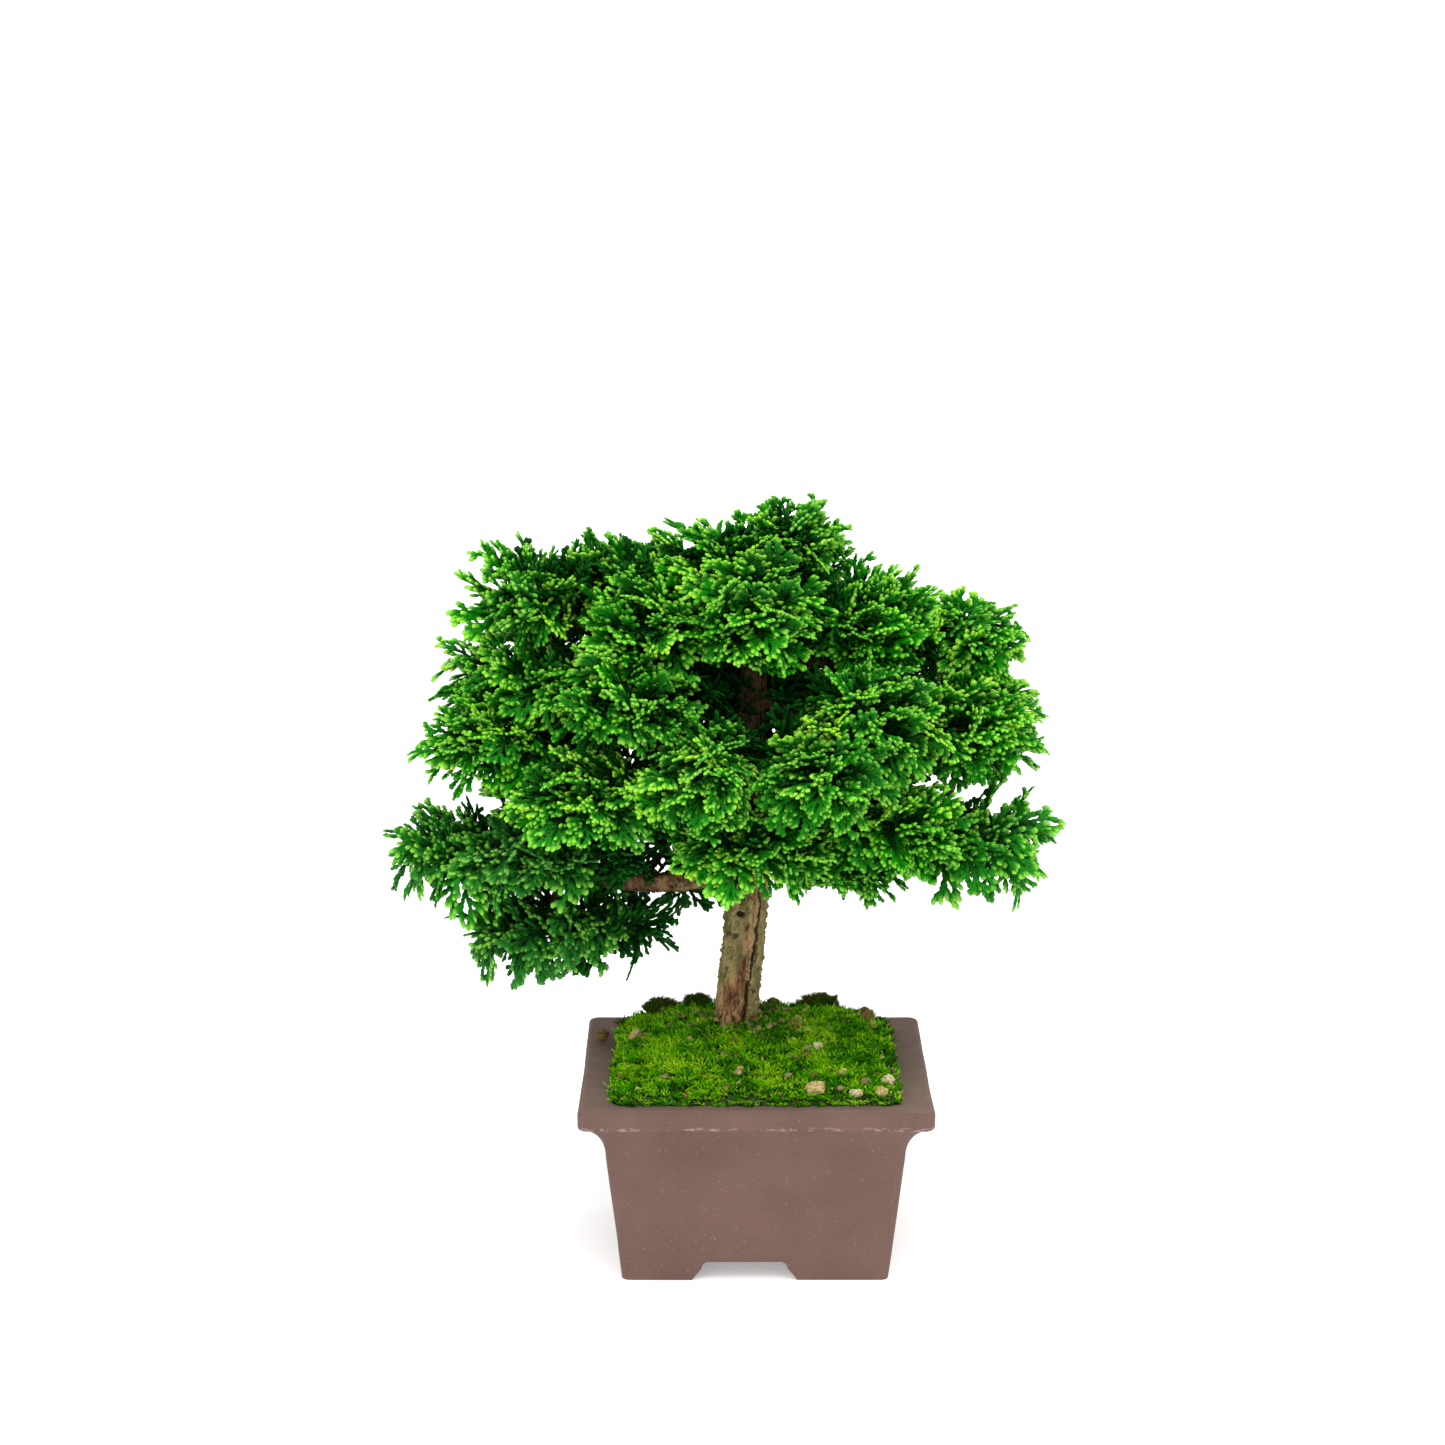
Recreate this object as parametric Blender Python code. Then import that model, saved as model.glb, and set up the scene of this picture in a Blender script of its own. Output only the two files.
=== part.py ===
"""A hinoki cypress bonsai in an unglazed rectangular clay pot.

The pot stands on its foot rim at z = 0, +Z is up, +Y points to the back, and lengths are in metres.
Pieces are placed from the middle of the pot. At the end the whole plant is shifted sideways, so
that the middle of its bounding box stands over the origin.
"""

import math
from collections import namedtuple

import bmesh
import bpy
from mathutils import Vector, noise

GAP = 0.0003  # clearance between two pieces that touch

# The pot
POT_WIDTH = 0.150
POT_DEPTH = 0.120
POT_HEIGHT = 0.0835
LIP_HEIGHT = 0.009
LIP_OVERHANG = 0.0113  # how far the lip stands out past the wall under it
LIP_ROUND = 0.002
LIP_BOW = 0.0003  # how far the middle of each side of the lip is drawn in
COVE_HEIGHT = 0.0165
COVE_TURN = math.radians(62)  # how far the cove turns from the wall until it meets the lip
BASE_TAPER = 0.0064  # how much each wall leans in from the cove down to the foot
LEDGE_WIDTH = 0.0132
LEDGE_ROUND = 0.0008
LEDGE_SLOPE = 0.002  # how much lower the ledge is at the opening than at the lip's edge
WALL = 0.0065
FLOOR_THICKNESS = 0.006
OUTER_CORNER = 0.0035
INNER_CORNER = 0.006

# The foot rim, with an arch in each side
FOOT_RECESS = 0.0095
FOOT_WALL = 0.009
ARCH_HEIGHT = 0.0087
ARCH_WIDTH = 0.0367  # along the top of the arch in the front and in the back
SIDE_ARCH_WIDTH = 0.024
ARCH_SLOPE = 0.0049  # how much wider the arch is on each side at the ground
ARCH_SHIFT = -0.0046  # the front and back arches were cut a little off the middle

# Drainage
HOLE_RADIUS = 0.006
HOLE_SPACING = 0.056
SCREEN_PITCH = 0.005
SCREEN_CELLS = 4
SCREEN_BAR = 0.0011
SCREEN_THICKNESS = 0.0008
WIRE_RADIUS = 0.0005
WIRE_TAIL = 0.006

# The ground in the pot
MOSS_THICKNESS = 0.004
MOSS_EDGE_RISE = 0.001  # how far the moss stands over the rim along the wall
MOUND_RISE = 0.013
RING_SCALES = (0.88, 0.72, 0.54, 0.36, 0.17)

# The tree
TRUNK_X = -0.0083
TRUNK_Y = 0.018
TRUNK_RADIUS = 0.0095
ROOT_DEPTH = 0.034
ROOT_RADIUS = 0.003
ROOT_FORK = 0.55  # how far down the root stock the roots leave it, as a share of ROOT_DEPTH
# Where each root ends, as shares of the room in the soil: across and back
ROOT_ENDS = ((-0.5, 0.1), (-0.28, -0.3), (0.12, -0.35), (0.4, 0.05), (0.05, 0.62))
TWIG_RADIUS = 0.002
TWIG_TIP_RADIUS = 0.0012
TWIG_REACH = 0.85  # where a twig ends, from the middle of its pad out to the pad's skin
CROWN_WIDTH = 0.294
CROWN_DEPTH = 0.200
CROWN_HEIGHT = 0.237
LIMB_TAPER = 0.62  # how much thinner a limb is at its tip
TWIG_SAG = 0.06  # how far a twig's middle hangs, as a share of its length

PAD_SEGMENTS = 10
PAD_RINGS = 6

# A limb starts at start, a share of the way along the trunk. Its via points and every pad's place
# are shares of the crown: across from -1 to 1, back from -1 to 1 and up from 0 to 1.
Limb = namedtuple("Limb", "start radius via")
LIMBS = {
    "left_low": Limb(0.39, 0.0056, [(-0.2, 0.0, 0.265), (-0.45, 0.02, 0.27), (-0.7, 0.02, 0.29)]),
    "right_low": Limb(0.47, 0.0042, [(0.2, -0.05, 0.375), (0.42, -0.12, 0.385), (0.56, -0.12, 0.37)]),
    "back_left": Limb(0.45, 0.0036, [(-0.15, 0.2, 0.32), (-0.33, 0.36, 0.33)]),
    "back_right": Limb(0.49, 0.0036, [(0.17, 0.2, 0.34), (0.3, 0.36, 0.34)]),
    "front": Limb(0.54, 0.0040, [(0.05, -0.3, 0.45), (0.07, -0.55, 0.49)]),
    "left_mid": Limb(0.58, 0.0044, [(-0.2, -0.1, 0.47), (-0.42, -0.18, 0.5), (-0.56, -0.16, 0.52)]),
    "back": Limb(0.60, 0.0038, [(0.0, 0.28, 0.5), (-0.02, 0.55, 0.54)]),
    "right_mid": Limb(0.66, 0.0040, [(0.27, -0.05, 0.55), (0.5, -0.1, 0.57)]),
    "upper_right": Limb(0.74, 0.0036, [(0.3, 0.08, 0.67), (0.55, 0.1, 0.69)]),
    "upper_left": Limb(0.76, 0.0038, [(-0.2, 0.03, 0.7), (-0.45, 0.03, 0.74)]),
}

# A pad is a cushion of foliage sprays: its place, its half sizes, and the limb that bears it.
Pad = namedtuple("Pad", "place half limb along")
PADS = {
    "apex": Pad((0.15, -0.03, 0.91), (0.024, 0.028, 0.018), "trunk", 0.93),
    "top_centre": Pad((-0.07, 0.07, 0.86), (0.030, 0.030, 0.018), "trunk", 0.86),
    "top_left": Pad((-0.37, 0.17, 0.82), (0.029, 0.030, 0.019), "upper_left", 0.7),
    "left_top": Pad((-0.62, -0.03, 0.81), (0.023, 0.030, 0.021), "upper_left", 0.93),
    "right_shoulder": Pad((0.41, -0.03, 0.76), (0.026, 0.030, 0.022), "upper_right", 0.5),
    "right_top": Pad((0.67, 0.12, 0.71), (0.029, 0.030, 0.021), "upper_right", 0.93),
    "crown_front": Pad((0.03, -0.43, 0.81), (0.028, 0.028, 0.025), "trunk", 0.8),
    "upper_left_front": Pad((-0.25, -0.28, 0.78), (0.029, 0.028, 0.021), "upper_left", 0.4),
    "left_upper_mid": Pad((-0.56, -0.08, 0.66), (0.033, 0.030, 0.019), "left_mid", 0.85),
    "left_mid": Pad((-0.71, -0.23, 0.56), (0.030, 0.030, 0.023), "left_mid", 0.93),
    "centre_left": Pad((-0.33, -0.48, 0.65), (0.031, 0.029, 0.022), "left_mid", 0.5),
    "lower_left": Pad((-0.42, -0.53, 0.49), (0.038, 0.030, 0.020), "left_mid", 0.65),
    "right_mid": Pad((0.40, -0.48, 0.62), (0.031, 0.029, 0.024), "right_mid", 0.6),
    "right_outer": Pad((0.67, -0.18, 0.58), (0.030, 0.032, 0.026), "right_mid", 0.93),
    "left_tip": Pad((-0.83, -0.03, 0.33), (0.031, 0.032, 0.020), "left_low", 0.93),
    "left_low": Pad((-0.63, -0.28, 0.35), (0.030, 0.029, 0.018), "left_low", 0.75),
    "left_hanging": Pad((-0.575, -0.13, 0.195), (0.038, 0.029, 0.021), "left_low", 0.62),
    "front_left": Pad((-0.07, -0.73, 0.55), (0.028, 0.029, 0.025), "front", 0.8),
    "front_right": Pad((0.22, -0.78, 0.55), (0.031, 0.029, 0.025), "front", 0.93),
    "front_low": Pad((0.06, -0.63, 0.41), (0.037, 0.029, 0.019), "front", 0.75),
    "right_tip": Pad((0.67, -0.28, 0.375), (0.036, 0.031, 0.020), "right_low", 0.93),
    "right_low_front": Pad((0.46, -0.53, 0.43), (0.030, 0.029, 0.022), "right_low", 0.7),
    "right_under": Pad((0.36, -0.13, 0.325), (0.030, 0.030, 0.015), "right_low", 0.55),
    "back_top": Pad((0.10, 0.50, 0.82), (0.033, 0.031, 0.022), "trunk", 0.8),
    "back_top_left": Pad((-0.30, 0.57, 0.75), (0.033, 0.031, 0.022), "upper_left", 0.4),
    "back_top_right": Pad((0.45, 0.52, 0.70), (0.033, 0.031, 0.022), "upper_right", 0.6),
    "back_left": Pad((-0.70, 0.38, 0.62), (0.030, 0.033, 0.024), "upper_left", 0.9),
    "back_mid_left": Pad((-0.40, 0.68, 0.54), (0.033, 0.031, 0.024), "back", 0.7),
    "back_mid": Pad((0.02, 0.80, 0.60), (0.033, 0.030, 0.025), "back", 0.93),
    "back_mid_right": Pad((0.42, 0.70, 0.52), (0.033, 0.031, 0.024), "back", 0.6),
    "back_right": Pad((0.72, 0.40, 0.52), (0.030, 0.033, 0.024), "right_mid", 0.9),
    "back_low_left": Pad((-0.55, 0.55, 0.35), (0.033, 0.032, 0.021), "back_left", 0.93),
    "back_low": Pad((-0.08, 0.66, 0.37), (0.033, 0.031, 0.021), "back_left", 0.6),
    "back_low_right": Pad((0.42, 0.56, 0.35), (0.033, 0.032, 0.021), "back_right", 0.93),
}

# Stones and lumps lie in the moss at a share of the room that the opening leaves them: across from
# -1 to 1 and back from -1 to 1, with their half sizes.
Lump = namedtuple("Lump", "kind place half")
LUMPS = {
    "stone_front_tan": Lump("tan", (0.45, -0.96), (0.0040, 0.0034, 0.0036)),
    "stone_front_white": Lump("pale", (0.73, -0.99), (0.0026, 0.0022, 0.0022)),
    "stone_corner_cream": Lump("pale", (0.97, -0.74), (0.0030, 0.0028, 0.0028)),
    "stone_corner_tan": Lump("tan", (0.92, -0.98), (0.0028, 0.0024, 0.0024)),
    "stone_right_grey": Lump("grey", (0.80, -0.78), (0.0022, 0.0020, 0.0020)),
    "stone_right_tan": Lump("tan", (0.63, -0.64), (0.0020, 0.0020, 0.0018)),
    "stone_middle_pale": Lump("pale", (0.46, -0.20), (0.0026, 0.0022, 0.0020)),
    "clay_lump_middle": Lump("brown", (0.38, -0.37), (0.0024, 0.0022, 0.0018)),
    "clay_lump_long": Lump("brown", (0.31, 0.22), (0.0050, 0.0022, 0.0020)),
    "clay_lump_right": Lump("brown", (0.87, 0.76), (0.0042, 0.0036, 0.0032)),
    "clay_lump_trunk": Lump("grey", (0.16, 0.86), (0.0034, 0.0030, 0.0030)),
    "stone_left_tan": Lump("tan", (-0.90, 0.26), (0.0030, 0.0026, 0.0024)),
    "moss_clump_left": Lump("moss", (-0.80, 0.92), (0.0075, 0.0050, 0.0042)),
    "moss_clump_back": Lump("moss", (-0.46, 0.99), (0.0060, 0.0046, 0.0040)),
    "moss_clump_right": Lump("moss", (0.56, 0.98), (0.0085, 0.0050, 0.0042)),
}
LUMP_RISE = 0.35  # how high a lump's middle is over the moss, as a share of its half height
LUMP_ROUGHNESS = 0.16  # how far a lump's surface goes in and out, as a share of its size
LUMP_MARGIN = 1.1  # room that a rough lump needs, as a share of its half sizes
LEDGE_LUMP = Lump("brown", (0.0, 0.62), (0.0034, 0.0030, 0.0026))

COLOURS = {
    "pot": (0.22, 0.14, 0.115, 0.75),
    "plastic": (0.02, 0.02, 0.02, 0.6),
    "wire": (0.45, 0.42, 0.38, 0.35),
    "soil": (0.06, 0.04, 0.025, 0.95),
    "moss_mat": (0.16, 0.32, 0.02, 0.9),
    "moss": (0.04, 0.07, 0.012, 0.95),
    "bark": (0.17, 0.10, 0.06, 0.9),
    "foliage": (0.03, 0.25, 0.02, 0.6),
    "tan": (0.40, 0.28, 0.12, 0.85),
    "pale": (0.62, 0.58, 0.48, 0.8),
    "grey": (0.28, 0.24, 0.18, 0.85),
    "brown": (0.16, 0.09, 0.045, 0.9),
}

for left_over in list(bpy.data.objects):
    bpy.data.objects.remove(left_over)

plant = bpy.data.objects.new("plant", None)
bpy.context.scene.collection.objects.link(plant)
woods = bpy.data.collections.new("limbs_and_twigs")
bpy.context.scene.collection.children.link(woods)


def finish(name):
    """The Principled material of one of the COLOURS."""
    found = bpy.data.materials.get(name)
    if found:
        return found
    made = bpy.data.materials.new(name)
    made.use_nodes = True
    red, green, blue, roughness = COLOURS[name]
    shader = made.node_tree.nodes["Principled BSDF"]
    shader.inputs["Base Color"].default_value = (red, green, blue, 1.0)
    shader.inputs["Roughness"].default_value = roughness
    shader.inputs["Metallic"].default_value = 1.0 if name == "wire" else 0.0
    return made


def add_piece(name, shape, colour):
    """A named piece of the plant, from a bmesh or a curve."""
    if isinstance(shape, bmesh.types.BMesh):
        data = bpy.data.meshes.new(name)
        bmesh.ops.recalc_face_normals(shape, faces=shape.faces)
        shape.to_mesh(data)
        shape.free()
    else:
        data = shape
    data.materials.append(finish(colour))
    made = bpy.data.objects.new(name, data)
    made.parent = plant
    bpy.context.scene.collection.objects.link(made)
    return made


def add_cutter(name, shape):
    """A helper that is not a piece itself: it only cuts pieces or joins them."""
    made = add_piece(name, shape, "plastic")
    made.hide_render = True
    made.display_type = "WIRE"
    return made


def cut(piece, cutter):
    boolean = piece.modifiers.new("cut_" + cutter.name, "BOOLEAN")
    boolean.operation = "DIFFERENCE"
    boolean.object = cutter


# ---------------------------------------------------------------- rings and lofts


def outline(half_x, half_y, corner, bow=0.0):
    """A rectangle with round corners, counterclockwise from above, with its sides drawn in by bow."""
    corner_steps = 4
    side_steps = 4
    middles = [
        (half_x - corner, half_y - corner, 0),
        (corner - half_x, half_y - corner, 90),
        (corner - half_x, corner - half_y, 180),
        (half_x - corner, corner - half_y, 270),
    ]
    points = []
    for index, (x, y, start) in enumerate(middles):
        for step in range(corner_steps + 1):
            angle = math.radians(start + 90 * step / corner_steps)
            points.append(Vector((x + corner * math.cos(angle), y + corner * math.sin(angle))))
        end = points[-1]
        next_x, next_y, next_start = middles[(index + 1) % 4]
        angle = math.radians(next_start)
        begin = Vector((next_x + corner * math.cos(angle), next_y + corner * math.sin(angle)))
        inward = Vector((begin.y - end.y, end.x - begin.x)).normalized() * -bow
        for step in range(1, side_steps):
            share = step / side_steps
            points.append(end.lerp(begin, share) + inward * math.sin(math.pi * share))
    return points


def ring(mesh, points, height):
    """Adds one ring of vertices. height is a number or a function of x and y."""
    made = []
    for point in points:
        z = height(point.x, point.y) if callable(height) else height
        made.append(mesh.verts.new((point.x, point.y, z)))
    return made


def bridge(mesh, lower, upper):
    """Two triangles between each pair of neighbours, always along the same diagonal."""
    count = len(lower)
    for i in range(count):
        j = (i + 1) % count
        mesh.faces.new((lower[i], lower[j], upper[j]))
        mesh.faces.new((lower[i], upper[j], upper[i]))


def cap(mesh, edge, height):
    """Closes a ring with a fan around a middle vertex."""
    middle = mesh.verts.new((0, 0, height))
    for i, vertex in enumerate(edge):
        mesh.faces.new((vertex, edge[(i + 1) % len(edge)], middle))


def prism(points, low, high, across):
    """An outline of (sideways, up) points made into a bar, which runs from low to high across X or Y."""
    mesh = bmesh.new()
    ends = []
    for place in (low, high):
        rows = [(place, s, z) if across == "X" else (s, place, z) for s, z in points]
        ends.append([mesh.verts.new(row) for row in rows])
    bridge(mesh, *ends)
    for end in ends:
        mesh.faces.new(end)
    return mesh


# ---------------------------------------------------------------- the pot

FLOOR_TOP = FOOT_RECESS + FLOOR_THICKNESS
NECK_HEIGHT = POT_HEIGHT - LIP_HEIGHT - COVE_HEIGHT
THROAT_INSET = LEDGE_WIDTH + LEDGE_ROUND
THROAT_X = POT_WIDTH / 2 - THROAT_INSET
THROAT_Y = POT_DEPTH / 2 - THROAT_INSET


def wall_inset(height):
    """How far the outside of the wall is in from the lip's edge, under the cove."""
    return LIP_OVERHANG + BASE_TAPER * (1 - height / NECK_HEIGHT)


def outer_profile():
    """(inset, height, bow) up the outside, from the foot to the ledge."""
    points = [
        (wall_inset(0), 0.0, 0.0),
        (wall_inset(FLOOR_TOP), FLOOR_TOP, 0.0),
        (LIP_OVERHANG, NECK_HEIGHT, 0.0),
    ]
    for share in (0.35, 0.7):
        swept = COVE_TURN * share
        outward = (1 - math.cos(swept)) / (1 - math.cos(COVE_TURN))
        upward = math.sin(swept) / math.sin(COVE_TURN)
        inset = LIP_OVERHANG - (LIP_OVERHANG - LIP_ROUND) * outward
        points.append((inset, NECK_HEIGHT + COVE_HEIGHT * upward, LIP_BOW * share))
    for middle, start in ((POT_HEIGHT - LIP_HEIGHT + LIP_ROUND, -90), (POT_HEIGHT - LIP_ROUND, 0)):
        for angle in (start, start + 45, start + 90):
            swept = math.radians(angle)
            inset = LIP_ROUND * (1 - math.cos(swept))
            points.append((inset, middle + LIP_ROUND * math.sin(swept), LIP_BOW))
    return points


def inner_profile():
    """(inset, height) down the inside, from the ledge to the floor."""
    return [
        (LEDGE_WIDTH, POT_HEIGHT - LEDGE_SLOPE),
        (THROAT_INSET, POT_HEIGHT - LEDGE_SLOPE - LEDGE_ROUND),
        (THROAT_INSET, POT_HEIGHT - LIP_HEIGHT),
        (wall_inset(NECK_HEIGHT) + WALL, NECK_HEIGHT),
        (wall_inset(FLOOR_TOP) + WALL, FLOOR_TOP),
    ]


def pot_outline(inset, corner, bow=0.0):
    return outline(POT_WIDTH / 2 - inset, POT_DEPTH / 2 - inset, corner, bow)


def arch(width, low, high, across, shift=0.0):
    """The bar that cuts one pair of arches: sloping sides, and rounded corners along its top."""
    half = width / 2
    corner = ARCH_HEIGHT / 4
    below = -ARCH_HEIGHT / 4
    slope = ARCH_SLOPE / ARCH_HEIGHT
    right = [
        (half + slope * (ARCH_HEIGHT - below), below),
        (half + slope * corner, ARCH_HEIGHT - corner),
        (half - corner / 5, ARCH_HEIGHT - corner / 4),
        (half - corner, ARCH_HEIGHT),
    ]
    left = [(-s, z) for s, z in reversed(right)]
    return prism([(s + shift, z) for s, z in right + left], low, high, across)


def make_pot():
    mesh = bmesh.new()
    rings = []
    for inset, height, bow in outer_profile():
        rings.append(ring(mesh, pot_outline(inset, OUTER_CORNER, bow), height))
    for inset, height in inner_profile():
        rings.append(ring(mesh, pot_outline(inset, INNER_CORNER), height))
    for lower, upper in zip(rings, rings[1:]):
        bridge(mesh, lower, upper)
    cap(mesh, rings[0], 0.0)
    cap(mesh, rings[-1], FLOOR_TOP)
    pot = add_piece("pot", mesh, "pot")

    recess = bmesh.new()
    below = -FOOT_RECESS
    inside = pot_outline(wall_inset(0) + FOOT_WALL, INNER_CORNER)
    edges = [ring(recess, inside, z) for z in (below, FOOT_RECESS)]
    bridge(recess, *edges)
    cap(recess, edges[0], below)
    cap(recess, edges[1], FOOT_RECESS)
    cut(pot, add_cutter("foot_recess", recess))
    front_arch = arch(ARCH_WIDTH, -POT_DEPTH, POT_DEPTH, "Y", ARCH_SHIFT)
    side_arch = arch(SIDE_ARCH_WIDTH, -POT_WIDTH, POT_WIDTH, "X")
    cut(pot, add_cutter("arch_front_back", front_arch))
    cut(pot, add_cutter("arch_sides", side_arch))
    for side, name in ((-1, "left"), (1, "right")):
        hole = bmesh.new()
        bmesh.ops.create_cone(
            hole, cap_ends=True, segments=20, radius1=HOLE_RADIUS, radius2=HOLE_RADIUS, depth=4 * FLOOR_TOP
        )
        bmesh.ops.translate(hole, verts=hole.verts, vec=(side * HOLE_SPACING / 2, 0, 0))
        cut(pot, add_cutter("drain_" + name, hole))


# ---------------------------------------------------------------- drainage


def make_screen(name, middle_x):
    """A square of plastic mesh that lies over a drainage hole."""
    count = 2 * SCREEN_CELLS + 2
    start = -(SCREEN_CELLS * SCREEN_PITCH + SCREEN_BAR) / 2
    lines = [start + (i // 2) * SCREEN_PITCH + (i % 2) * SCREEN_BAR for i in range(count)]
    base = FLOOR_TOP + GAP
    mesh = bmesh.new()
    grid = [[mesh.verts.new((middle_x + x, y, base)) for x in lines] for y in lines]
    for row in range(count - 1):
        for column in range(count - 1):
            if row % 2 and column % 2:
                continue  # an open cell
            near, far = grid[row], grid[row + 1]
            mesh.faces.new((near[column], near[column + 1], far[column + 1], far[column]))
    lifted = bmesh.ops.extrude_face_region(mesh, geom=list(mesh.faces))["geom"]
    raised = [part for part in lifted if isinstance(part, bmesh.types.BMVert)]
    bmesh.ops.translate(mesh, verts=raised, vec=(0, 0, SCREEN_THICKNESS))
    add_piece(name, mesh, "plastic")


def make_wire(name, middle_x):
    """A wire staple: over the screen, down through the hole, and bent out under the floor."""
    leg = SCREEN_PITCH / 2
    top = FLOOR_TOP + GAP + SCREEN_THICKNESS + GAP + WIRE_RADIUS
    bottom = FOOT_RECESS - GAP - WIRE_RADIUS
    bend = WIRE_RADIUS * 2
    tail = HOLE_RADIUS + WIRE_TAIL
    half = [
        (leg - bend, top),
        (leg, top - bend),
        (leg, bottom + bend),
        (leg + bend, bottom),
        (tail, bottom),
    ]
    route = [(-x, z) for x, z in reversed(half)] + half
    curve = bpy.data.curves.new(name, "CURVE")
    curve.dimensions = "3D"
    curve.bevel_depth = WIRE_RADIUS
    curve.bevel_resolution = 1
    curve.use_fill_caps = True
    spline = curve.splines.new("POLY")
    spline.points.add(len(route) - 1)
    for point, (x, z) in zip(spline.points, route):
        point.co = (middle_x + x, leg, z, 1.0)
    add_piece(name, curve, "wire")


# ---------------------------------------------------------------- soil and moss


def ground(x, y):
    """The height of the moss over the point: low along the front, high behind the trunk."""
    across = min(abs(x) / THROAT_X, 1.0)
    back = max(-1.0, min(y / THROAT_Y, 1.0))
    crown = 1 - (0.95 * across) ** 3.5
    rise = math.sin(math.pi / 2 * min(1.0, (back + 1) / 1.6))
    fall = 1 - (0.94 * abs(back)) ** 8
    return POT_HEIGHT + MOSS_EDGE_RISE + MOUND_RISE * crown * rise * fall


def soil_top(x, y):
    return ground(x, y) - MOSS_THICKNESS


def add_mound(mesh, edge, height):
    """Rings that close over an edge ring, at the height that the function gives."""
    lower = edge
    for scale in RING_SCALES:
        points = [Vector((v.co.x * scale, v.co.y * scale)) for v in edge]
        upper = ring(mesh, points, height)
        bridge(mesh, lower, upper)
        lower = upper
    cap(mesh, lower, height(0, 0))


def make_soil():
    """The soil fills the pot, less a pocket over each drainage screen and one around the roots."""
    mesh = bmesh.new()
    rings = []
    for inset, height in reversed(inner_profile()[2:]):
        low = height + GAP if height == FLOOR_TOP else height
        rings.append(ring(mesh, pot_outline(inset + GAP, INNER_CORNER), low))
    rings.append(ring(mesh, pot_outline(THROAT_INSET + GAP, INNER_CORNER), soil_top))
    for lower, upper in zip(rings, rings[1:]):
        bridge(mesh, lower, upper)
    cap(mesh, rings[0], FLOOR_TOP + GAP)
    add_mound(mesh, rings[-1], soil_top)
    soil = add_piece("potting_soil", mesh, "soil")

    half = (SCREEN_CELLS * SCREEN_PITCH + SCREEN_BAR) / 2 + GAP
    top = FLOOR_TOP + SCREEN_THICKNESS + 2 * WIRE_RADIUS + 4 * GAP
    for side, name in ((-1, "left"), (1, "right")):
        middle = side * HOLE_SPACING / 2
        pocket = prism([(-half, 0), (half, 0), (half, top), (-half, top)], middle - half, middle + half, "X")
        cut(soil, add_cutter("screen_pocket_" + name, pocket))
    return soil


def make_moss():
    """The moss mat lies on the soil and reaches the pot's inner edge."""
    mesh = bmesh.new()
    points = pot_outline(THROAT_INSET + GAP, INNER_CORNER)
    under = ring(mesh, points, lambda x, y: soil_top(x, y) + GAP)
    over = ring(mesh, points, ground)
    bridge(mesh, under, over)
    add_mound(mesh, over, ground)
    add_mound(mesh, under, lambda x, y: soil_top(x, y) + GAP)
    return add_piece("moss_mat", mesh, "moss_mat")


def lump_shape(middle, half, name, swell=0.0):
    """A rough rounded lump. swell makes it that much bigger all round."""
    seed = Vector((len(name), sum(map(ord, name)) % 97, 0))
    mesh = bmesh.new()
    bmesh.ops.create_icosphere(mesh, subdivisions=2, radius=1.0)
    for vertex in mesh.verts:
        rough = 1 + LUMP_ROUGHNESS * noise.noise(vertex.co * 1.3 + seed)
        spot = Vector([a * b for a, b in zip(vertex.co * rough, half)])
        vertex.co = middle + spot + spot.normalized() * swell
    return mesh


def make_lumps(moss):
    """Stones, baked clay and clumps of dark moss, each in its own hollow in the moss mat."""
    for name, lump in LUMPS.items():
        x = lump.place[0] * (THROAT_X - lump.half[0] * LUMP_MARGIN)
        y = lump.place[1] * (THROAT_Y - lump.half[1] * LUMP_MARGIN)
        middle = Vector((x, y, ground(x, y) + lump.half[2] * LUMP_RISE))
        add_piece(name, lump_shape(middle, lump.half, name), lump.kind)
        cut(moss, add_cutter(name + "_hollow", lump_shape(middle, lump.half, name, 1.5 * GAP)))
    half = LEDGE_LUMP.half
    height = POT_HEIGHT - LEDGE_SLOPE / 2 + half[2] * LUMP_MARGIN + GAP
    middle = Vector((-THROAT_X - LEDGE_WIDTH / 2, LEDGE_LUMP.place[1] * THROAT_Y, height))
    add_piece("clay_lump_ledge", lump_shape(middle, half, "clay_lump_ledge"), LEDGE_LUMP.kind)


# ---------------------------------------------------------------- the tree

TRUNK_BASE = Vector((TRUNK_X, TRUNK_Y, ground(TRUNK_X, TRUNK_Y)))
TRUNK_VIA = [
    (0.031, 0.0, 0.215),
    (0.041, 0.0, 0.435),
    (0.048, 0.01, 0.63),
    (0.08, 0.02, 0.79),
    (0.12, 0.0, 0.88),
]
TRUNK_SHARES = [1.0, 0.98, 0.97, 0.84, 0.62, 0.4, 0.22]  # of TRUNK_RADIUS at each point of the trunk
Wood = namedtuple("Wood", "points radii")


def in_crown(place):
    across, back, up = place
    return TRUNK_BASE + Vector((across * CROWN_WIDTH / 2, back * CROWN_DEPTH / 2, up * CROWN_HEIGHT))


def smooth(points, steps):
    """A Catmull-Rom curve through the points, with steps pieces between each two of them."""
    points = [Vector(p) for p in points]
    ends = [2 * points[0] - points[1], *points, 2 * points[-1] - points[-2]]
    made = []
    for a, b, c, d in zip(ends, ends[1:], ends[2:], ends[3:]):
        for step in range(steps):
            t = step / steps
            bend = (2 * a - 5 * b + 4 * c - d) * t**2 + (3 * b - a - 3 * c + d) * t**3
            made.append(0.5 * (2 * b + (c - a) * t + bend))
    return made + [points[-1]]


def spread(values, steps):
    """The values with steps - 1 more between each two of them."""
    made = []
    for a, b in zip(values, values[1:]):
        made += [a + (b - a) * step / steps for step in range(steps)]
    return made + [values[-1]]


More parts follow.
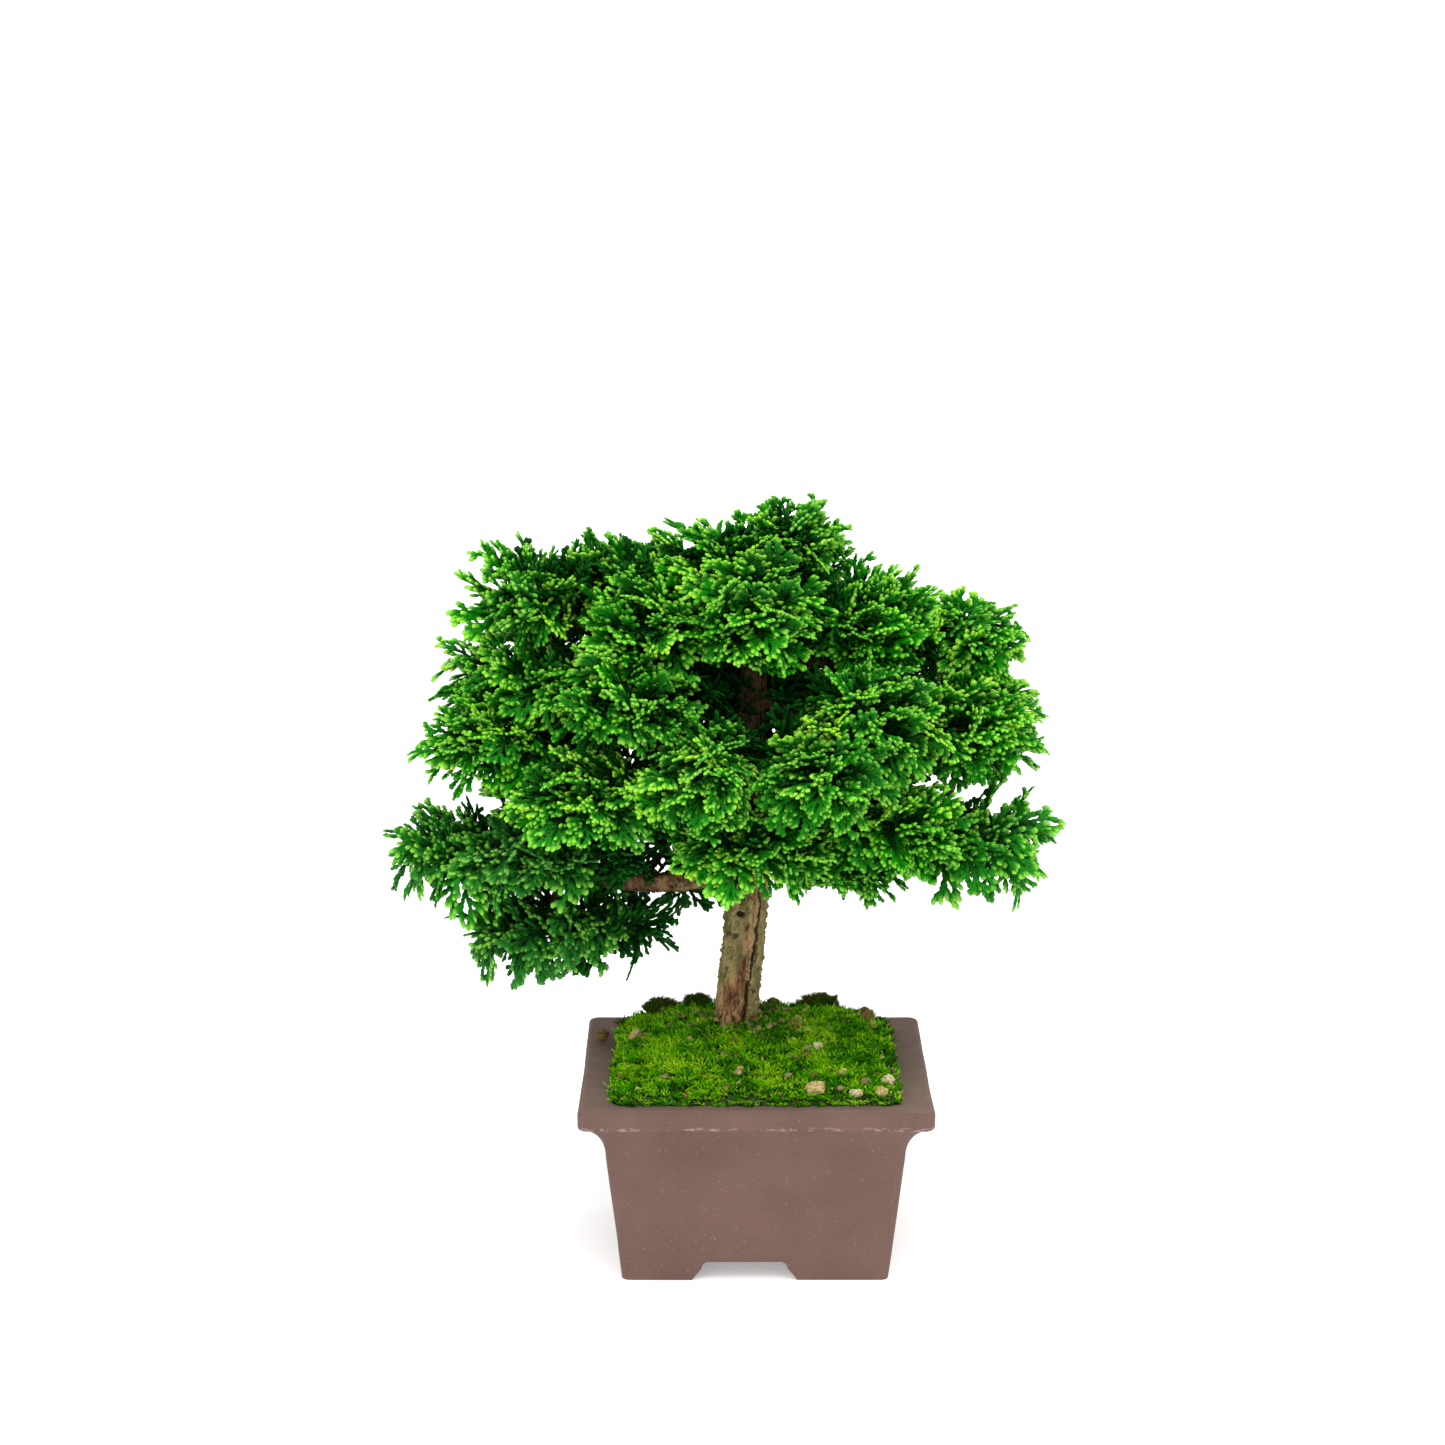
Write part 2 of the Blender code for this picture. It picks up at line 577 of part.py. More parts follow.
def along(wood, share):
    """The point and radius a share of the way along a trunk or limb."""
    place = share * (len(wood.points) - 1)
    index = min(int(place), len(wood.points) - 2)
    part = place - index
    point = wood.points[index].lerp(wood.points[index + 1], part)
    return point, wood.radii[index] + (wood.radii[index + 1] - wood.radii[index]) * part


def tube(wood, sides, swell=0.0):
    """A closed tube along the wood's points. swell makes it that much thicker."""
    points = wood.points
    mesh = bmesh.new()
    side = (points[1] - points[0]).orthogonal().normalized()
    rings = []
    for i, point in enumerate(points):
        ahead = (points[min(i + 1, len(points) - 1)] - points[max(i - 1, 0)]).normalized()
        side = (side - ahead * side.dot(ahead)).normalized()
        other = ahead.cross(side)
        reach = wood.radii[i] + swell
        if swell and i in (0, len(points) - 1):
            point = point + ahead * (swell if i else -swell)
        made = []
        for k in range(sides):
            angle = 2 * math.pi * k / sides
            made.append(mesh.verts.new(point + (side * math.cos(angle) + other * math.sin(angle)) * reach))
        rings.append(made)
    for lower, upper in zip(rings, rings[1:]):
        bridge(mesh, lower, upper)
    mesh.faces.new(rings[0])
    mesh.faces.new(rings[-1])
    return mesh


def grow_wood():
    """The trunk, limbs, roots and twigs as lists of points and radii."""
    foot = TRUNK_BASE - Vector((0, 0, ROOT_DEPTH))
    trunk_points = [foot, TRUNK_BASE] + [in_crown(place) for place in TRUNK_VIA]
    trunk_radii = [TRUNK_RADIUS * share for share in TRUNK_SHARES]
    trunk = Wood(smooth(trunk_points, 2), spread(trunk_radii, 2))
    woods_found = {"trunk": trunk}
    for name, limb in LIMBS.items():
        start, _ = along(trunk, limb.start)
        points = [start] + [in_crown(place) for place in limb.via]
        radii = [limb.radius * (1 - LIMB_TAPER * i / (len(points) - 1)) for i in range(len(points))]
        woods_found[name] = Wood(smooth(points, 2), spread(radii, 2))
    return woods_found


def grow_roots():
    """Roots that spread from the foot of the trunk to their ends in the soil."""
    starts = TRUNK_BASE - Vector((0, 0, ROOT_DEPTH * ROOT_FORK))
    depth = TRUNK_BASE.z - ROOT_DEPTH
    made = []
    for across, back in ROOT_ENDS:
        end = Vector((across * THROAT_X, back * THROAT_Y, depth))
        middle = starts.lerp(end, 0.5) + Vector((0, 0, ROOT_RADIUS))
        made.append(Wood([starts, middle, end], [ROOT_RADIUS, ROOT_RADIUS * 0.75, ROOT_RADIUS * 0.4]))
    return made


def skin_distance(pad, direction):
    """From a pad's middle out to its skin, along a unit direction."""
    return 1 / math.sqrt(sum((d / h) ** 2 for d, h in zip(direction, pad.half)))


def grow_twigs(limbs):
    """A twig from each pad's limb to a point just inside the pad's skin."""
    made = {}
    for name, pad in PADS.items():
        middle = in_crown(pad.place)
        start, radius = along(limbs[pad.limb], pad.along)
        away = start - middle
        reach = TWIG_REACH * skin_distance(pad, away.normalized())
        if away.length <= reach + 2 * radius:
            continue  # the limb itself reaches the pad
        end = middle + away.normalized() * reach
        thick = min(TWIG_RADIUS, radius)
        bent = start.lerp(end, 0.5) - Vector((0, 0, away.length * TWIG_SAG))
        made[name] = Wood([start, bent, end], [thick, thick, TWIG_TIP_RADIUS])
    return made


def make_tree(soil, moss):
    limbs = grow_wood()
    twigs = grow_twigs(limbs)
    roots = grow_roots()
    tree = add_piece("tree", tube(limbs["trunk"], 12), "bark")
    parts = [("limb_" + n, wood, 8) for n, wood in limbs.items() if n != "trunk"]
    parts += [("twig_" + n, wood, 6) for n, wood in twigs.items()]
    parts += [(f"root_{i}", wood, 6) for i, wood in enumerate(roots)]
    for name, wood, sides in parts:
        helper = add_cutter(name, tube(wood, sides))
        bpy.context.scene.collection.objects.unlink(helper)
        woods.objects.link(helper)
    union = tree.modifiers.new("grown_together", "BOOLEAN")
    union.operation = "UNION"
    union.operand_type = "COLLECTION"
    union.collection = woods
    pocket = add_cutter("trunk_pocket", tube(limbs["trunk"], 12, GAP * 1.2))
    cut(soil, pocket)
    cut(moss, pocket)
    for i, wood in enumerate(roots):
        cut(soil, add_cutter(f"root_pocket_{i}", tube(wood, 6, GAP * 1.2)))
    return list(limbs.values()) + list(twigs.values())


# ---------------------------------------------------------------- foliage pads


def nearest_on(a, b, point):
    """The share along the line from a to b, from 0 to 1, that is nearest to the point."""
    line = b - a
    return max(0.0, min(1.0, (point - a).dot(line) / line.length_squared))


def pad_walls(name, pad, wood):
    """Planes, as (normal, distance from the pad's middle), that keep a pad off wood and off other pads."""
    middle = in_crown(pad.place)
    walls = []
    for piece in wood:
        for i, (a, b) in enumerate(zip(piece.points, piece.points[1:])):
            towards = a.lerp(b, nearest_on(a, b, middle)) - middle
            room = towards.length - max(piece.radii[i], piece.radii[i + 1]) - GAP
            walls.append((towards.normalized(), room))
    for other_name, other in PADS.items():
        if other_name == name:
            continue
        towards = in_crown(other.place) - middle
        normal = towards.normalized()
        mine = skin_distance(pad, normal)
        theirs = skin_distance(other, normal)
        walls.append((normal, towards.length * mine / (mine + theirs) - GAP))
    return walls


def make_pads(wood):
    """One closed rounded cushion for each pad, cut back flat where wood or a neighbour is in its way."""
    for name, pad in PADS.items():
        middle = in_crown(pad.place)
        walls = pad_walls(name, pad, wood)
        mesh = bmesh.new()
        bmesh.ops.create_uvsphere(mesh, u_segments=PAD_SEGMENTS, v_segments=PAD_RINGS, radius=1.0)
        for vertex in mesh.verts:
            direction = vertex.co.normalized()
            reach = skin_distance(pad, direction)
            for normal, room in walls:
                facing = direction.dot(normal)
                if facing > 0 and room < reach * facing:
                    reach = room / facing
            vertex.co = middle + direction * reach
        add_piece("foliage_" + name, mesh, "foliage")


def centre_plant():
    """Shifts everything sideways, so that the middle of the bounding box stands over the origin."""
    low = [math.inf, math.inf]
    high = [-math.inf, -math.inf]
    for piece in plant.children:
        if piece.hide_render or piece.type != "MESH":
            continue
        for vertex in piece.data.vertices:
            for axis in (0, 1):
                low[axis] = min(low[axis], vertex.co[axis])
                high[axis] = max(high[axis], vertex.co[axis])
    plant.location = (-(low[0] + high[0]) / 2, -(low[1] + high[1]) / 2, 0)


make_pot()
for hole_side, hole_name in ((-1, "left"), (1, "right")):
    make_screen("drainage_screen_" + hole_name, hole_side * HOLE_SPACING / 2)
    make_wire("screen_wire_" + hole_name, hole_side * HOLE_SPACING / 2)
potting_soil = make_soil()
moss_mat = make_moss()
make_lumps(moss_mat)
make_pads(make_tree(potting_soil, moss_mat))
centre_plant()
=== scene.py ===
"""A hinoki cypress bonsai in an unglazed clay pot: its looks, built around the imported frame."""

import math

import bmesh
import bpy
import numpy as np
from mathutils import Matrix, Vector, noise


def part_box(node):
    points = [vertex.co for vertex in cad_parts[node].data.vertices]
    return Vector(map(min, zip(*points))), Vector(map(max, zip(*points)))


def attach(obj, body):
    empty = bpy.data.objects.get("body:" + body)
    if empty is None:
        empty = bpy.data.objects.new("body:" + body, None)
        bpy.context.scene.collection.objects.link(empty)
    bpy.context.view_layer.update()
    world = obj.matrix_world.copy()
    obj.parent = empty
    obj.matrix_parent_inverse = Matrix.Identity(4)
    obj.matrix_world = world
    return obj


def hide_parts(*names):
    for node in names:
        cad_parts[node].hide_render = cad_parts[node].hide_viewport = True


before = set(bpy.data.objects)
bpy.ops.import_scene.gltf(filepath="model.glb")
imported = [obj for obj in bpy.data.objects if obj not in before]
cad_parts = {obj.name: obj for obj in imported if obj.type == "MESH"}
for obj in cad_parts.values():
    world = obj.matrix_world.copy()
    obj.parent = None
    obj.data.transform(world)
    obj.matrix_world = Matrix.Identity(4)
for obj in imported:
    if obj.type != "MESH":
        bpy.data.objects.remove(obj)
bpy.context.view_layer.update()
MM = 0.001

# ---------------------------------------------------------------- pot
# One piece of grey-brown stoneware, pressed in a mould and fired without a glaze. Leaning walls
# rise in a cove to a lip with a flat ledge, and the foot rim is arched on each side.

pot_low, pot_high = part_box("pot")
POT_MIDDLE = Vector(((pot_low.x + pot_high.x) / 2, (pot_low.y + pot_high.y) / 2, 0))
POT_HALF_X = (pot_high.x - pot_low.x) / 2
POT_HALF_Y = (pot_high.y - pot_low.y) / 2
POT_HEIGHT = pot_high.z
LIP_HEIGHT = 9 * MM
LIP_ROUND = 2 * MM
LIP_BOW = 0.3 * MM
LIP_OVERHANG = 11.3 * MM
COVE_HEIGHT = 16.5 * MM
COVE_TURN = math.radians(62)  # how far the cove turns from the wall until it meets the lip
BASE_TAPER = 6.4 * MM
LEDGE_WIDTH = 13.2 * MM
LEDGE_ROUND = 0.8 * MM
LEDGE_SLOPE = 2 * MM  # how much lower the ledge is at the opening
WALL = 6.5 * MM
FLOOR_TOP = 15.5 * MM
OUTER_CORNER = 3.5 * MM
INNER_CORNER = 6 * MM
FOOT_RECESS = 9.5 * MM
FOOT_WALL = 9 * MM
ARCH_HEIGHT = 8.7 * MM
ARCH_SLOPE = 4.9 * MM
ARCHES = (("Y", 36.7 * MM, -4.6 * MM), ("X", 24 * MM, 0.0))  # runs along, width at its top, shift
HOLE_RADIUS = 6 * MM
HOLE_SPACING = 56 * MM
NECK_HEIGHT = POT_HEIGHT - LIP_HEIGHT - COVE_HEIGHT
THROAT_INSET = LEDGE_WIDTH + LEDGE_ROUND
THROAT_X = POT_HALF_X - THROAT_INSET
THROAT_Y = POT_HALF_Y - THROAT_INSET
noise.seed_set(3)  # fixes the offsets that noise_vector uses, which otherwise change from run to run


class Paint:
    """An output of a shader node. An expression on values adds the Math nodes that work it out."""

    def __init__(self, tree, socket=None):
        self.tree = tree
        self.socket = socket

    def node(self, kind, settings, inputs, output=0):
        """Adds any node: its settings go in first, then its inputs by their identifiers."""
        made = self.tree.nodes.new("ShaderNode" + kind)
        for name, value in settings.items():
            if name == "stops":
                set_stops(made.color_ramp, value)
            else:
                setattr(made, name, value)
        for plug in made.inputs:
            value = inputs.get(plug.identifier)
            if isinstance(value, Paint):
                self.tree.links.new(value.socket, plug)
            elif value is not None:
                plug.default_value = value
        return Paint(self.tree, made.outputs[output])

    def math(self, operation, *values):
        plugs = dict(zip(("Value", "Value_001", "Value_002"), values))
        return self.node("Math", {"operation": operation}, plugs)

    def __add__(self, other):
        return self.math("ADD", self, other)

    def __sub__(self, other):
        return self.math("SUBTRACT", self, other)

    def __rsub__(self, other):
        return self.math("SUBTRACT", other, self)

    def __mul__(self, other):
        return self.math("MULTIPLY", self, other)

    __radd__ = __add__
    __rmul__ = __mul__

    def rise(self, start, end):
        """0 below start and 1 past end, with a soft step between them."""
        plugs = {"Value": self, "From Min": start, "From Max": end}
        return self.node("MapRange", {"interpolation_type": "SMOOTHSTEP"}, plugs)

    def mix(self, low, high):
        """The colour low where this is 0, and high where it is 1."""
        plugs = {"Factor_Float": self, "A_Color": low, "B_Color": high}
        return self.node("Mix", {"data_type": "RGBA"}, plugs, 2)

    def noise(self, scale, detail=2.0, roughness=0.5):
        """Noise over these coordinates, with its features 1 / scale metres apart."""
        plugs = {"Vector": self, "Scale": scale, "Detail": detail, "Roughness": roughness}
        return self.node("TexNoise", {}, plugs)

    def stretch(self, x, y, z):
        """These coordinates, scaled along each axis."""
        return self.node("VectorMath", {"operation": "MULTIPLY"}, {"Vector": self, "Vector_001": (x, y, z)})

    def part(self, axis):
        return self.node("SeparateXYZ", {}, {"Vector": self}, "XYZ".index(axis))


def set_stops(ramp, stops):
    while len(ramp.elements) < len(stops):
        ramp.elements.new(0.5)
    for element, (place, colour) in zip(ramp.elements, stops):
        element.position = place
        element.color = colour


def rgb(red, green, blue):
    return (red, green, blue, 1.0)


def new_material(name, **fixed):
    """A Principled material with the fixed values set on it, and its object coordinates."""
    made = bpy.data.materials.new(name)
    made.use_nodes = True
    shader = made.node_tree.nodes["Principled BSDF"]
    for plug, value in fixed.items():
        shader.inputs[plug.replace("_", " ")].default_value = value
    place = Paint(made.node_tree).node("TexCoord", {}, {}, 3)
    return made, place


def wear(material, colour, roughness, height=None, depth=0.0):
    """Puts the colour, the roughness and a bump of that depth in metres on a material."""
    tree = material.node_tree
    shader = tree.nodes["Principled BSDF"]
    tree.links.new(colour.socket, shader.inputs["Base Color"])
    if isinstance(roughness, Paint):
        tree.links.new(roughness.socket, shader.inputs["Roughness"])
    else:
        shader.inputs["Roughness"].default_value = roughness
    if height:
        bump = height.node("Bump", {}, {"Height": height, "Distance": depth, "Strength": 1.0})
        tree.links.new(bump.socket, shader.inputs["Normal"])


def add_object(name, data, material):
    made = bpy.data.objects.new(name, data)
    data.materials.append(material)
    bpy.context.scene.collection.objects.link(made)
    return made


def from_bmesh(name, shape, material):
    data = bpy.data.meshes.new(name)
    bmesh.ops.recalc_face_normals(shape, faces=shape.faces)
    shape.to_mesh(data)
    shape.free()
    return add_object(name, data, material)


def place_piece(piece, slot, *nodes):
    """The piece belongs to the one body of the plant and stands for these nodes of the frame."""
    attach(piece, "root")
    if nodes:
        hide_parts(*nodes)


def rounded_outline(half_x, half_y, corner, bow=0.0, corner_steps=8, side_steps=24):
    """A rectangle with round corners, counterclockwise, with its sides drawn in by bow."""
    points = []
    for quarter in range(4):
        across, back = ((1, 1), (-1, 1), (-1, -1), (1, -1))[quarter]
        middle = Vector((across * (half_x - corner), back * (half_y - corner)))
        for step in range(corner_steps + 1):
            angle = math.pi / 2 * (quarter + step / corner_steps)
            points.append(middle + corner * Vector((math.cos(angle), math.sin(angle))))
    made = []
    for index, point in enumerate(points):
        made.append(point)
        if index % (corner_steps + 1) == corner_steps:
            ahead = points[(index + 1) % len(points)]
            inward = Vector((point.y - ahead.y, ahead.x - point.x)).normalized() * bow
            for step in range(1, side_steps):
                share = step / side_steps
                made.append(point.lerp(ahead, share) + inward * math.sin(math.pi * share))
    return made


def loft(shape, rings):
    """Quads between rings of as many points each, and a cap on each end."""
    edges = [[shape.verts.new(point) for point in ring] for ring in rings]
    for lower, upper in zip(edges, edges[1:]):
        for i, vertex in enumerate(lower):
            j = (i + 1) % len(lower)
            shape.faces.new((vertex, lower[j], upper[j], upper[i]))
    for edge in (edges[0], edges[-1]):
        shape.faces.new(edge)


def pot_ring(inset, height, corner=OUTER_CORNER, bow=0.0):
    outline = rounded_outline(POT_HALF_X - inset, POT_HALF_Y - inset, corner, bow)
    return [POT_MIDDLE + Vector((p.x, p.y, height)) for p in outline]


def wall_inset(height):
    return LIP_OVERHANG + BASE_TAPER * (1 - height / NECK_HEIGHT)


def pot_rings():
    rings = []
    wall_rows = 10
    for row in range(wall_rows):
        height = NECK_HEIGHT * row / wall_rows
        rings.append(pot_ring(wall_inset(height), height))
    cove_steps = 14
    for step in range(cove_steps):
        angle = COVE_TURN * step / cove_steps
        outward = (1 - math.cos(angle)) / (1 - math.cos(COVE_TURN))
        upward = math.sin(angle) / math.sin(COVE_TURN)
        inset = LIP_OVERHANG - (LIP_OVERHANG - LIP_ROUND) * outward
        rings.append(pot_ring(inset, NECK_HEIGHT + COVE_HEIGHT * upward, bow=LIP_BOW * step / cove_steps))
    for middle, start in ((POT_HEIGHT - LIP_HEIGHT + LIP_ROUND, -90), (POT_HEIGHT - LIP_ROUND, 0)):
        for step in range(7):
            angle = math.radians(start + 15 * step)
            inset = LIP_ROUND * (1 - math.cos(angle))
            rings.append(pot_ring(inset, middle + LIP_ROUND * math.sin(angle), bow=LIP_BOW))
    ledge_rows = 6
    for row in range(1, ledge_rows + 1):
        share = row / ledge_rows
        inset = LIP_ROUND + (LEDGE_WIDTH - LIP_ROUND) * share
        corner = OUTER_CORNER + (INNER_CORNER - OUTER_CORNER) * share
        rings.append(pot_ring(inset, POT_HEIGHT - LEDGE_SLOPE * share, corner, LIP_BOW * (1 - share)))
    for step in range(1, 5):
        angle = math.pi / 2 * step / 4
        inset = LEDGE_WIDTH + LEDGE_ROUND * math.sin(angle)
        height = POT_HEIGHT - LEDGE_SLOPE - LEDGE_ROUND * (1 - math.cos(angle))
        rings.append(pot_ring(inset, height, INNER_CORNER))
    rings.append(pot_ring(THROAT_INSET, POT_HEIGHT - LIP_HEIGHT, INNER_CORNER))
    for height in (NECK_HEIGHT, FLOOR_TOP):
        rings.append(pot_ring(wall_inset(height) + WALL, height, INNER_CORNER))
    return rings


def add_cutter(name, shape, piece):
    """Cuts a shape out of a piece."""
    cutter = from_bmesh(name, shape, bpy.data.materials["unglazed_clay"])
    boolean = piece.modifiers.new(name, "BOOLEAN")
    boolean.operation = "DIFFERENCE"
    boolean.object = cutter
    return cutter


def arch_bar(along, width, shift):
    """The bar that cuts a pair of arches: sloping sides and round corners along its top."""
    corner = ARCH_HEIGHT / 3
    side = []
    for step in range(7):
        angle = math.radians(15 * step)
        half_width = width / 2 - corner * (1 - math.cos(angle))
        side.append((half_width, ARCH_HEIGHT - corner * (1 - math.sin(angle))))
    side.insert(0, (width / 2 + ARCH_SLOPE * 1.3, -ARCH_HEIGHT * 0.3))
    profile = side + [(-s, z) for s, z in reversed(side)]
    ends = []
    for reach in (-POT_HALF_X * 2, POT_HALF_X * 2):
        rows = [(s + shift, reach, z) if along == "Y" else (reach, s + shift, z) for s, z in profile]
        ends.append([POT_MIDDLE + Vector(row) for row in rows])
    shape = bmesh.new()
    loft(shape, ends)
    return shape


def make_pot(clay):
    shape = bmesh.new()
    loft(shape, pot_rings())
    pot = from_bmesh("clay_pot", shape, clay)
    recess = bmesh.new()
    loft(recess, [pot_ring(wall_inset(0) + FOOT_WALL, z, INNER_CORNER) for z in (-FOOT_RECESS, FOOT_RECESS)])
    cutters = [add_cutter("foot_recess", recess, pot)]
    for along, width, shift in ARCHES:
        cutters.append(add_cutter("arch_" + along, arch_bar(along, width, shift), pot))
    for side in (-1, 1):
        hole = bmesh.new()
        bmesh.ops.create_cone(
            hole, cap_ends=True, segments=48, radius1=HOLE_RADIUS, radius2=HOLE_RADIUS, depth=FLOOR_TOP * 4
        )
        bmesh.ops.translate(hole, verts=hole.verts, vec=POT_MIDDLE + Vector((side * HOLE_SPACING / 2, 0, 0)))
        cutters.append(add_cutter(f"drain_{side}", hole, pot))
    bpy.context.view_layer.update()
    cut_mesh = bpy.data.meshes.new_from_object(pot.evaluated_get(bpy.context.evaluated_depsgraph_get()))
    pot.modifiers.clear()
    pot.data = cut_mesh
    for cutter in cutters:
        bpy.data.objects.remove(cutter)
    unevenness = 0.35 * MM
    for vertex in cut_mesh.vertices:
        shift = noise.noise_vector(vertex.co * 28) * unevenness
        shift.z *= min(1, vertex.co.z / FLOOR_TOP) * 0.5
        outward = (vertex.co - POT_MIDDLE).normalized() * (vertex.co.z > FLOOR_TOP)
        vertex.co += shift - unevenness * 0.5 * outward
    cut_mesh.shade_smooth()
    cut_mesh.set_sharp_from_angle(angle=math.radians(38))
    place_piece(pot, "unglazed_clay", "pot")


def make_clay():
    """Grey-brown body with a dry sandy skin, pale scuffs on the lip, and a greyer ledge, partly dust and
    partly painted top light.
    """
    clay, place = new_material("unglazed_clay")
    body = place.noise(35, 4).rise(0.35, 0.65).mix(rgb(0.128, 0.070, 0.054), rgb(0.150, 0.083, 0.064))
    grain = place.noise(1500, 3, 0.6)
    body = grain.rise(0.30, 0.46).mix(rgb(0.098, 0.056, 0.044), body)
    specks = place.noise(620, 1).rise(0.70, 0.76)
    body = (specks * 0.6).mix(body, rgb(0.24, 0.17, 0.14))
    height = place.part("Z")
    upright = place.node("NewGeometry", {}, {}, 1).part("Z").rise(0.80, 0.97)
    ledge = upright * height.rise(POT_HEIGHT - 6 * MM, POT_HEIGHT - 5 * MM)
    # The upward-facing ledge turns paler and greyer: partly real dust, partly painted light falling from
    # above.
    dust_and_top_light = ledge * (0.45 + place.noise(90, 4).rise(0.3, 0.7) * 0.4)
    body = dust_and_top_light.mix(body, rgb(0.212, 0.138, 0.108))
    lip_foot = POT_HEIGHT - LIP_HEIGHT
    above = height.rise(lip_foot + 1.2 * MM, lip_foot + 2.6 * MM)
    band = height.rise(lip_foot - 0.9 * MM, lip_foot) * (1 - above)
    scuffs = band * place.stretch(1, 1, 2.5).noise(260, 4, 0.6).rise(0.50, 0.62)
    body = (scuffs * 0.7).mix(body, rgb(0.36, 0.285, 0.25))
    skin = grain + place.noise(420, 3) * 0.7
    wear(clay, body, 0.72 + grain * 0.2, skin, 0.12 * MM)
    return clay


make_pot(make_clay())

# ---------------------------------------------------------------- drainage screens and wires
# Over each hole in the pot's floor lies a square of black plastic mesh, which keeps the soil in.
# A staple of aluminium wire goes down through it and is bent out under the floor.


def make_drainage():
    plastic, place = new_material("screen_plastic", Specular_IOR_Level=0.4)
    wash = place.noise(300, 3)
    black = wash.mix(rgb(0.010, 0.010, 0.011), rgb(0.030, 0.029, 0.027))
    wear(plastic, black, 0.45 + wash * 0.25, wash, 0.05 * MM)
    metal, place = new_material("screen_wire", Metallic=1.0)
    drawn = place.stretch(4, 4, 0.4).noise(900, 3)
    tarnish = place.noise(150, 2).rise(0.4, 0.7)
    grey = tarnish.mix(rgb(0.62, 0.61, 0.59), rgb(0.35, 0.33, 0.30))
    wear(metal, grey, 0.3 + drawn * 0.3, drawn, 0.02 * MM)
    for side in ("left", "right"):
        for name, material in (("drainage_screen_", plastic), ("screen_wire_", metal)):
            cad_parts[name + side].data.materials[0] = material


make_drainage()

# ---------------------------------------------------------------- potting soil
# A dark, coarse mix of baked clay, bark and peat fills the pot around the roots. It shows only
# through the drainage holes and as a dark line along the wall.


def make_soil():
    soil, place = new_material("potting_soil")
    crumbs = place.noise(420, 5, 0.7)
    peat, bark, clay = rgb(0.008, 0.005, 0.003), rgb(0.045, 0.026, 0.014), rgb(0.13, 0.075, 0.04)
    colour = crumbs.node("ValToRGB", {"stops": [(0.3, peat), (0.5, bark), (0.7, clay)]}, {"Fac": crumbs})
    wear(soil, colour, 0.95, crumbs, 1.2 * MM)
    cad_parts["potting_soil"].data.materials[0] = soil


make_soil()

# ---------------------------------------------------------------- moss
# Fine upright moss covers the soil as one cushion, bright where it is young and dark near the
# trunk. It is a thin mat with thousands of pointed shoots, which lean out over the ledge.

MOSS_EDGE_RISE = 1 * MM
MOUND_RISE = 13 * MM
MAT_THICKNESS = 4 * MM
MAT_SUNK = 0.9 * MM  # how far the mat lies under the tops of its shoots
MAT_GAP = 0.3 * MM  # between the mat and the pot's wall
EDGE_BEND = 2.5 * MM  # the width of the band where the mat bends down
TUFT_SPACING = 2.0 * MM
BLADES = 9


def ground(x, y):
    """The height of the moss over a point that is x and y from the pot's middle."""
    across = min(abs(x) / THROAT_X, 1.0)
    back = max(-1.0, min(y / THROAT_Y, 1.0))
    crown = 1 - (0.95 * across) ** 3.5
    rise = math.sin(math.pi / 2 * min(1.0, (back + 1) / 1.6))
    fall = 1 - (0.94 * abs(back)) ** 8
    return POT_HEIGHT + MOSS_EDGE_RISE + MOUND_RISE * crown * rise * fall


def moss_lumps(x, y):
    """Soft bulges in the mat, a few millimetres apart, flat along the wall."""
    spot = Vector((x, y, 0))
    inside = min(1.0, max(0.0, min(THROAT_X - abs(x), THROAT_Y - abs(y)) / (6 * MM)))
    return inside * (2.0 * MM * noise.noise(spot * 110) + 1.2 * MM * noise.noise(spot * 330))


def edge_dip(x, y):
    """How far the mat bends down at the wall, to the inner edge of the ledge."""
    inside = min(THROAT_X - abs(x), THROAT_Y - abs(y)) / EDGE_BEND
    return LEDGE_SLOPE * min(1.0, max(0.0, 1 - inside))


def into_throat(u, v):
    """Carries a point of the square from -1 to 1 onto the pot's round-cornered throat."""
    straight_x = THROAT_X - INNER_CORNER
    straight_y = THROAT_Y - INNER_CORNER
    x = u * (THROAT_X - MAT_GAP)
    y = v * (THROAT_Y - MAT_GAP)
    over = Vector((abs(x) - straight_x, abs(y) - straight_y))
    if over.x > 0 and over.y > 0:
        over *= max(over) / over.length
        x = math.copysign(straight_x + over.x, x)
        y = math.copysign(straight_y + over.y, y)
    return x, y


def make_mat(material):
    columns = 120
    rows = 90
    shape = bmesh.new()
    layers = []
    for drop in (MAT_THICKNESS * 0.8, 0.0):
        layer = []
        for row in range(rows + 1):
            line = []
            for column in range(columns + 1):
                x, y = into_throat(2 * column / columns - 1, 2 * row / rows - 1)
                z = ground(x, y) - drop - MAT_SUNK + (0 if drop else moss_lumps(x, y) - edge_dip(x, y))
                line.append(shape.verts.new(POT_MIDDLE + Vector((x, y, z))))
            layer.append(line)
        layers.append(layer)
    edges = []
    for layer in layers:
        for near, far in zip(layer, layer[1:]):
            for column in range(columns):
                shape.faces.new((near[column], near[column + 1], far[column + 1], far[column]))
        right = [line[-1] for line in layer[:-1]]
        left = [line[0] for line in layer[:0:-1]]
        edges.append(layer[0][:-1] + right + layer[-1][:0:-1] + left)
    under, over = edges
    for i, vertex in enumerate(under):
        j = (i + 1) % len(under)
        shape.faces.new((vertex, under[j], over[j], over[i]))
    mat = from_bmesh("moss_mat_base", shape, material)
    mat.data.shade_smooth()
    place_piece(mat, "green_moss", "moss_mat")


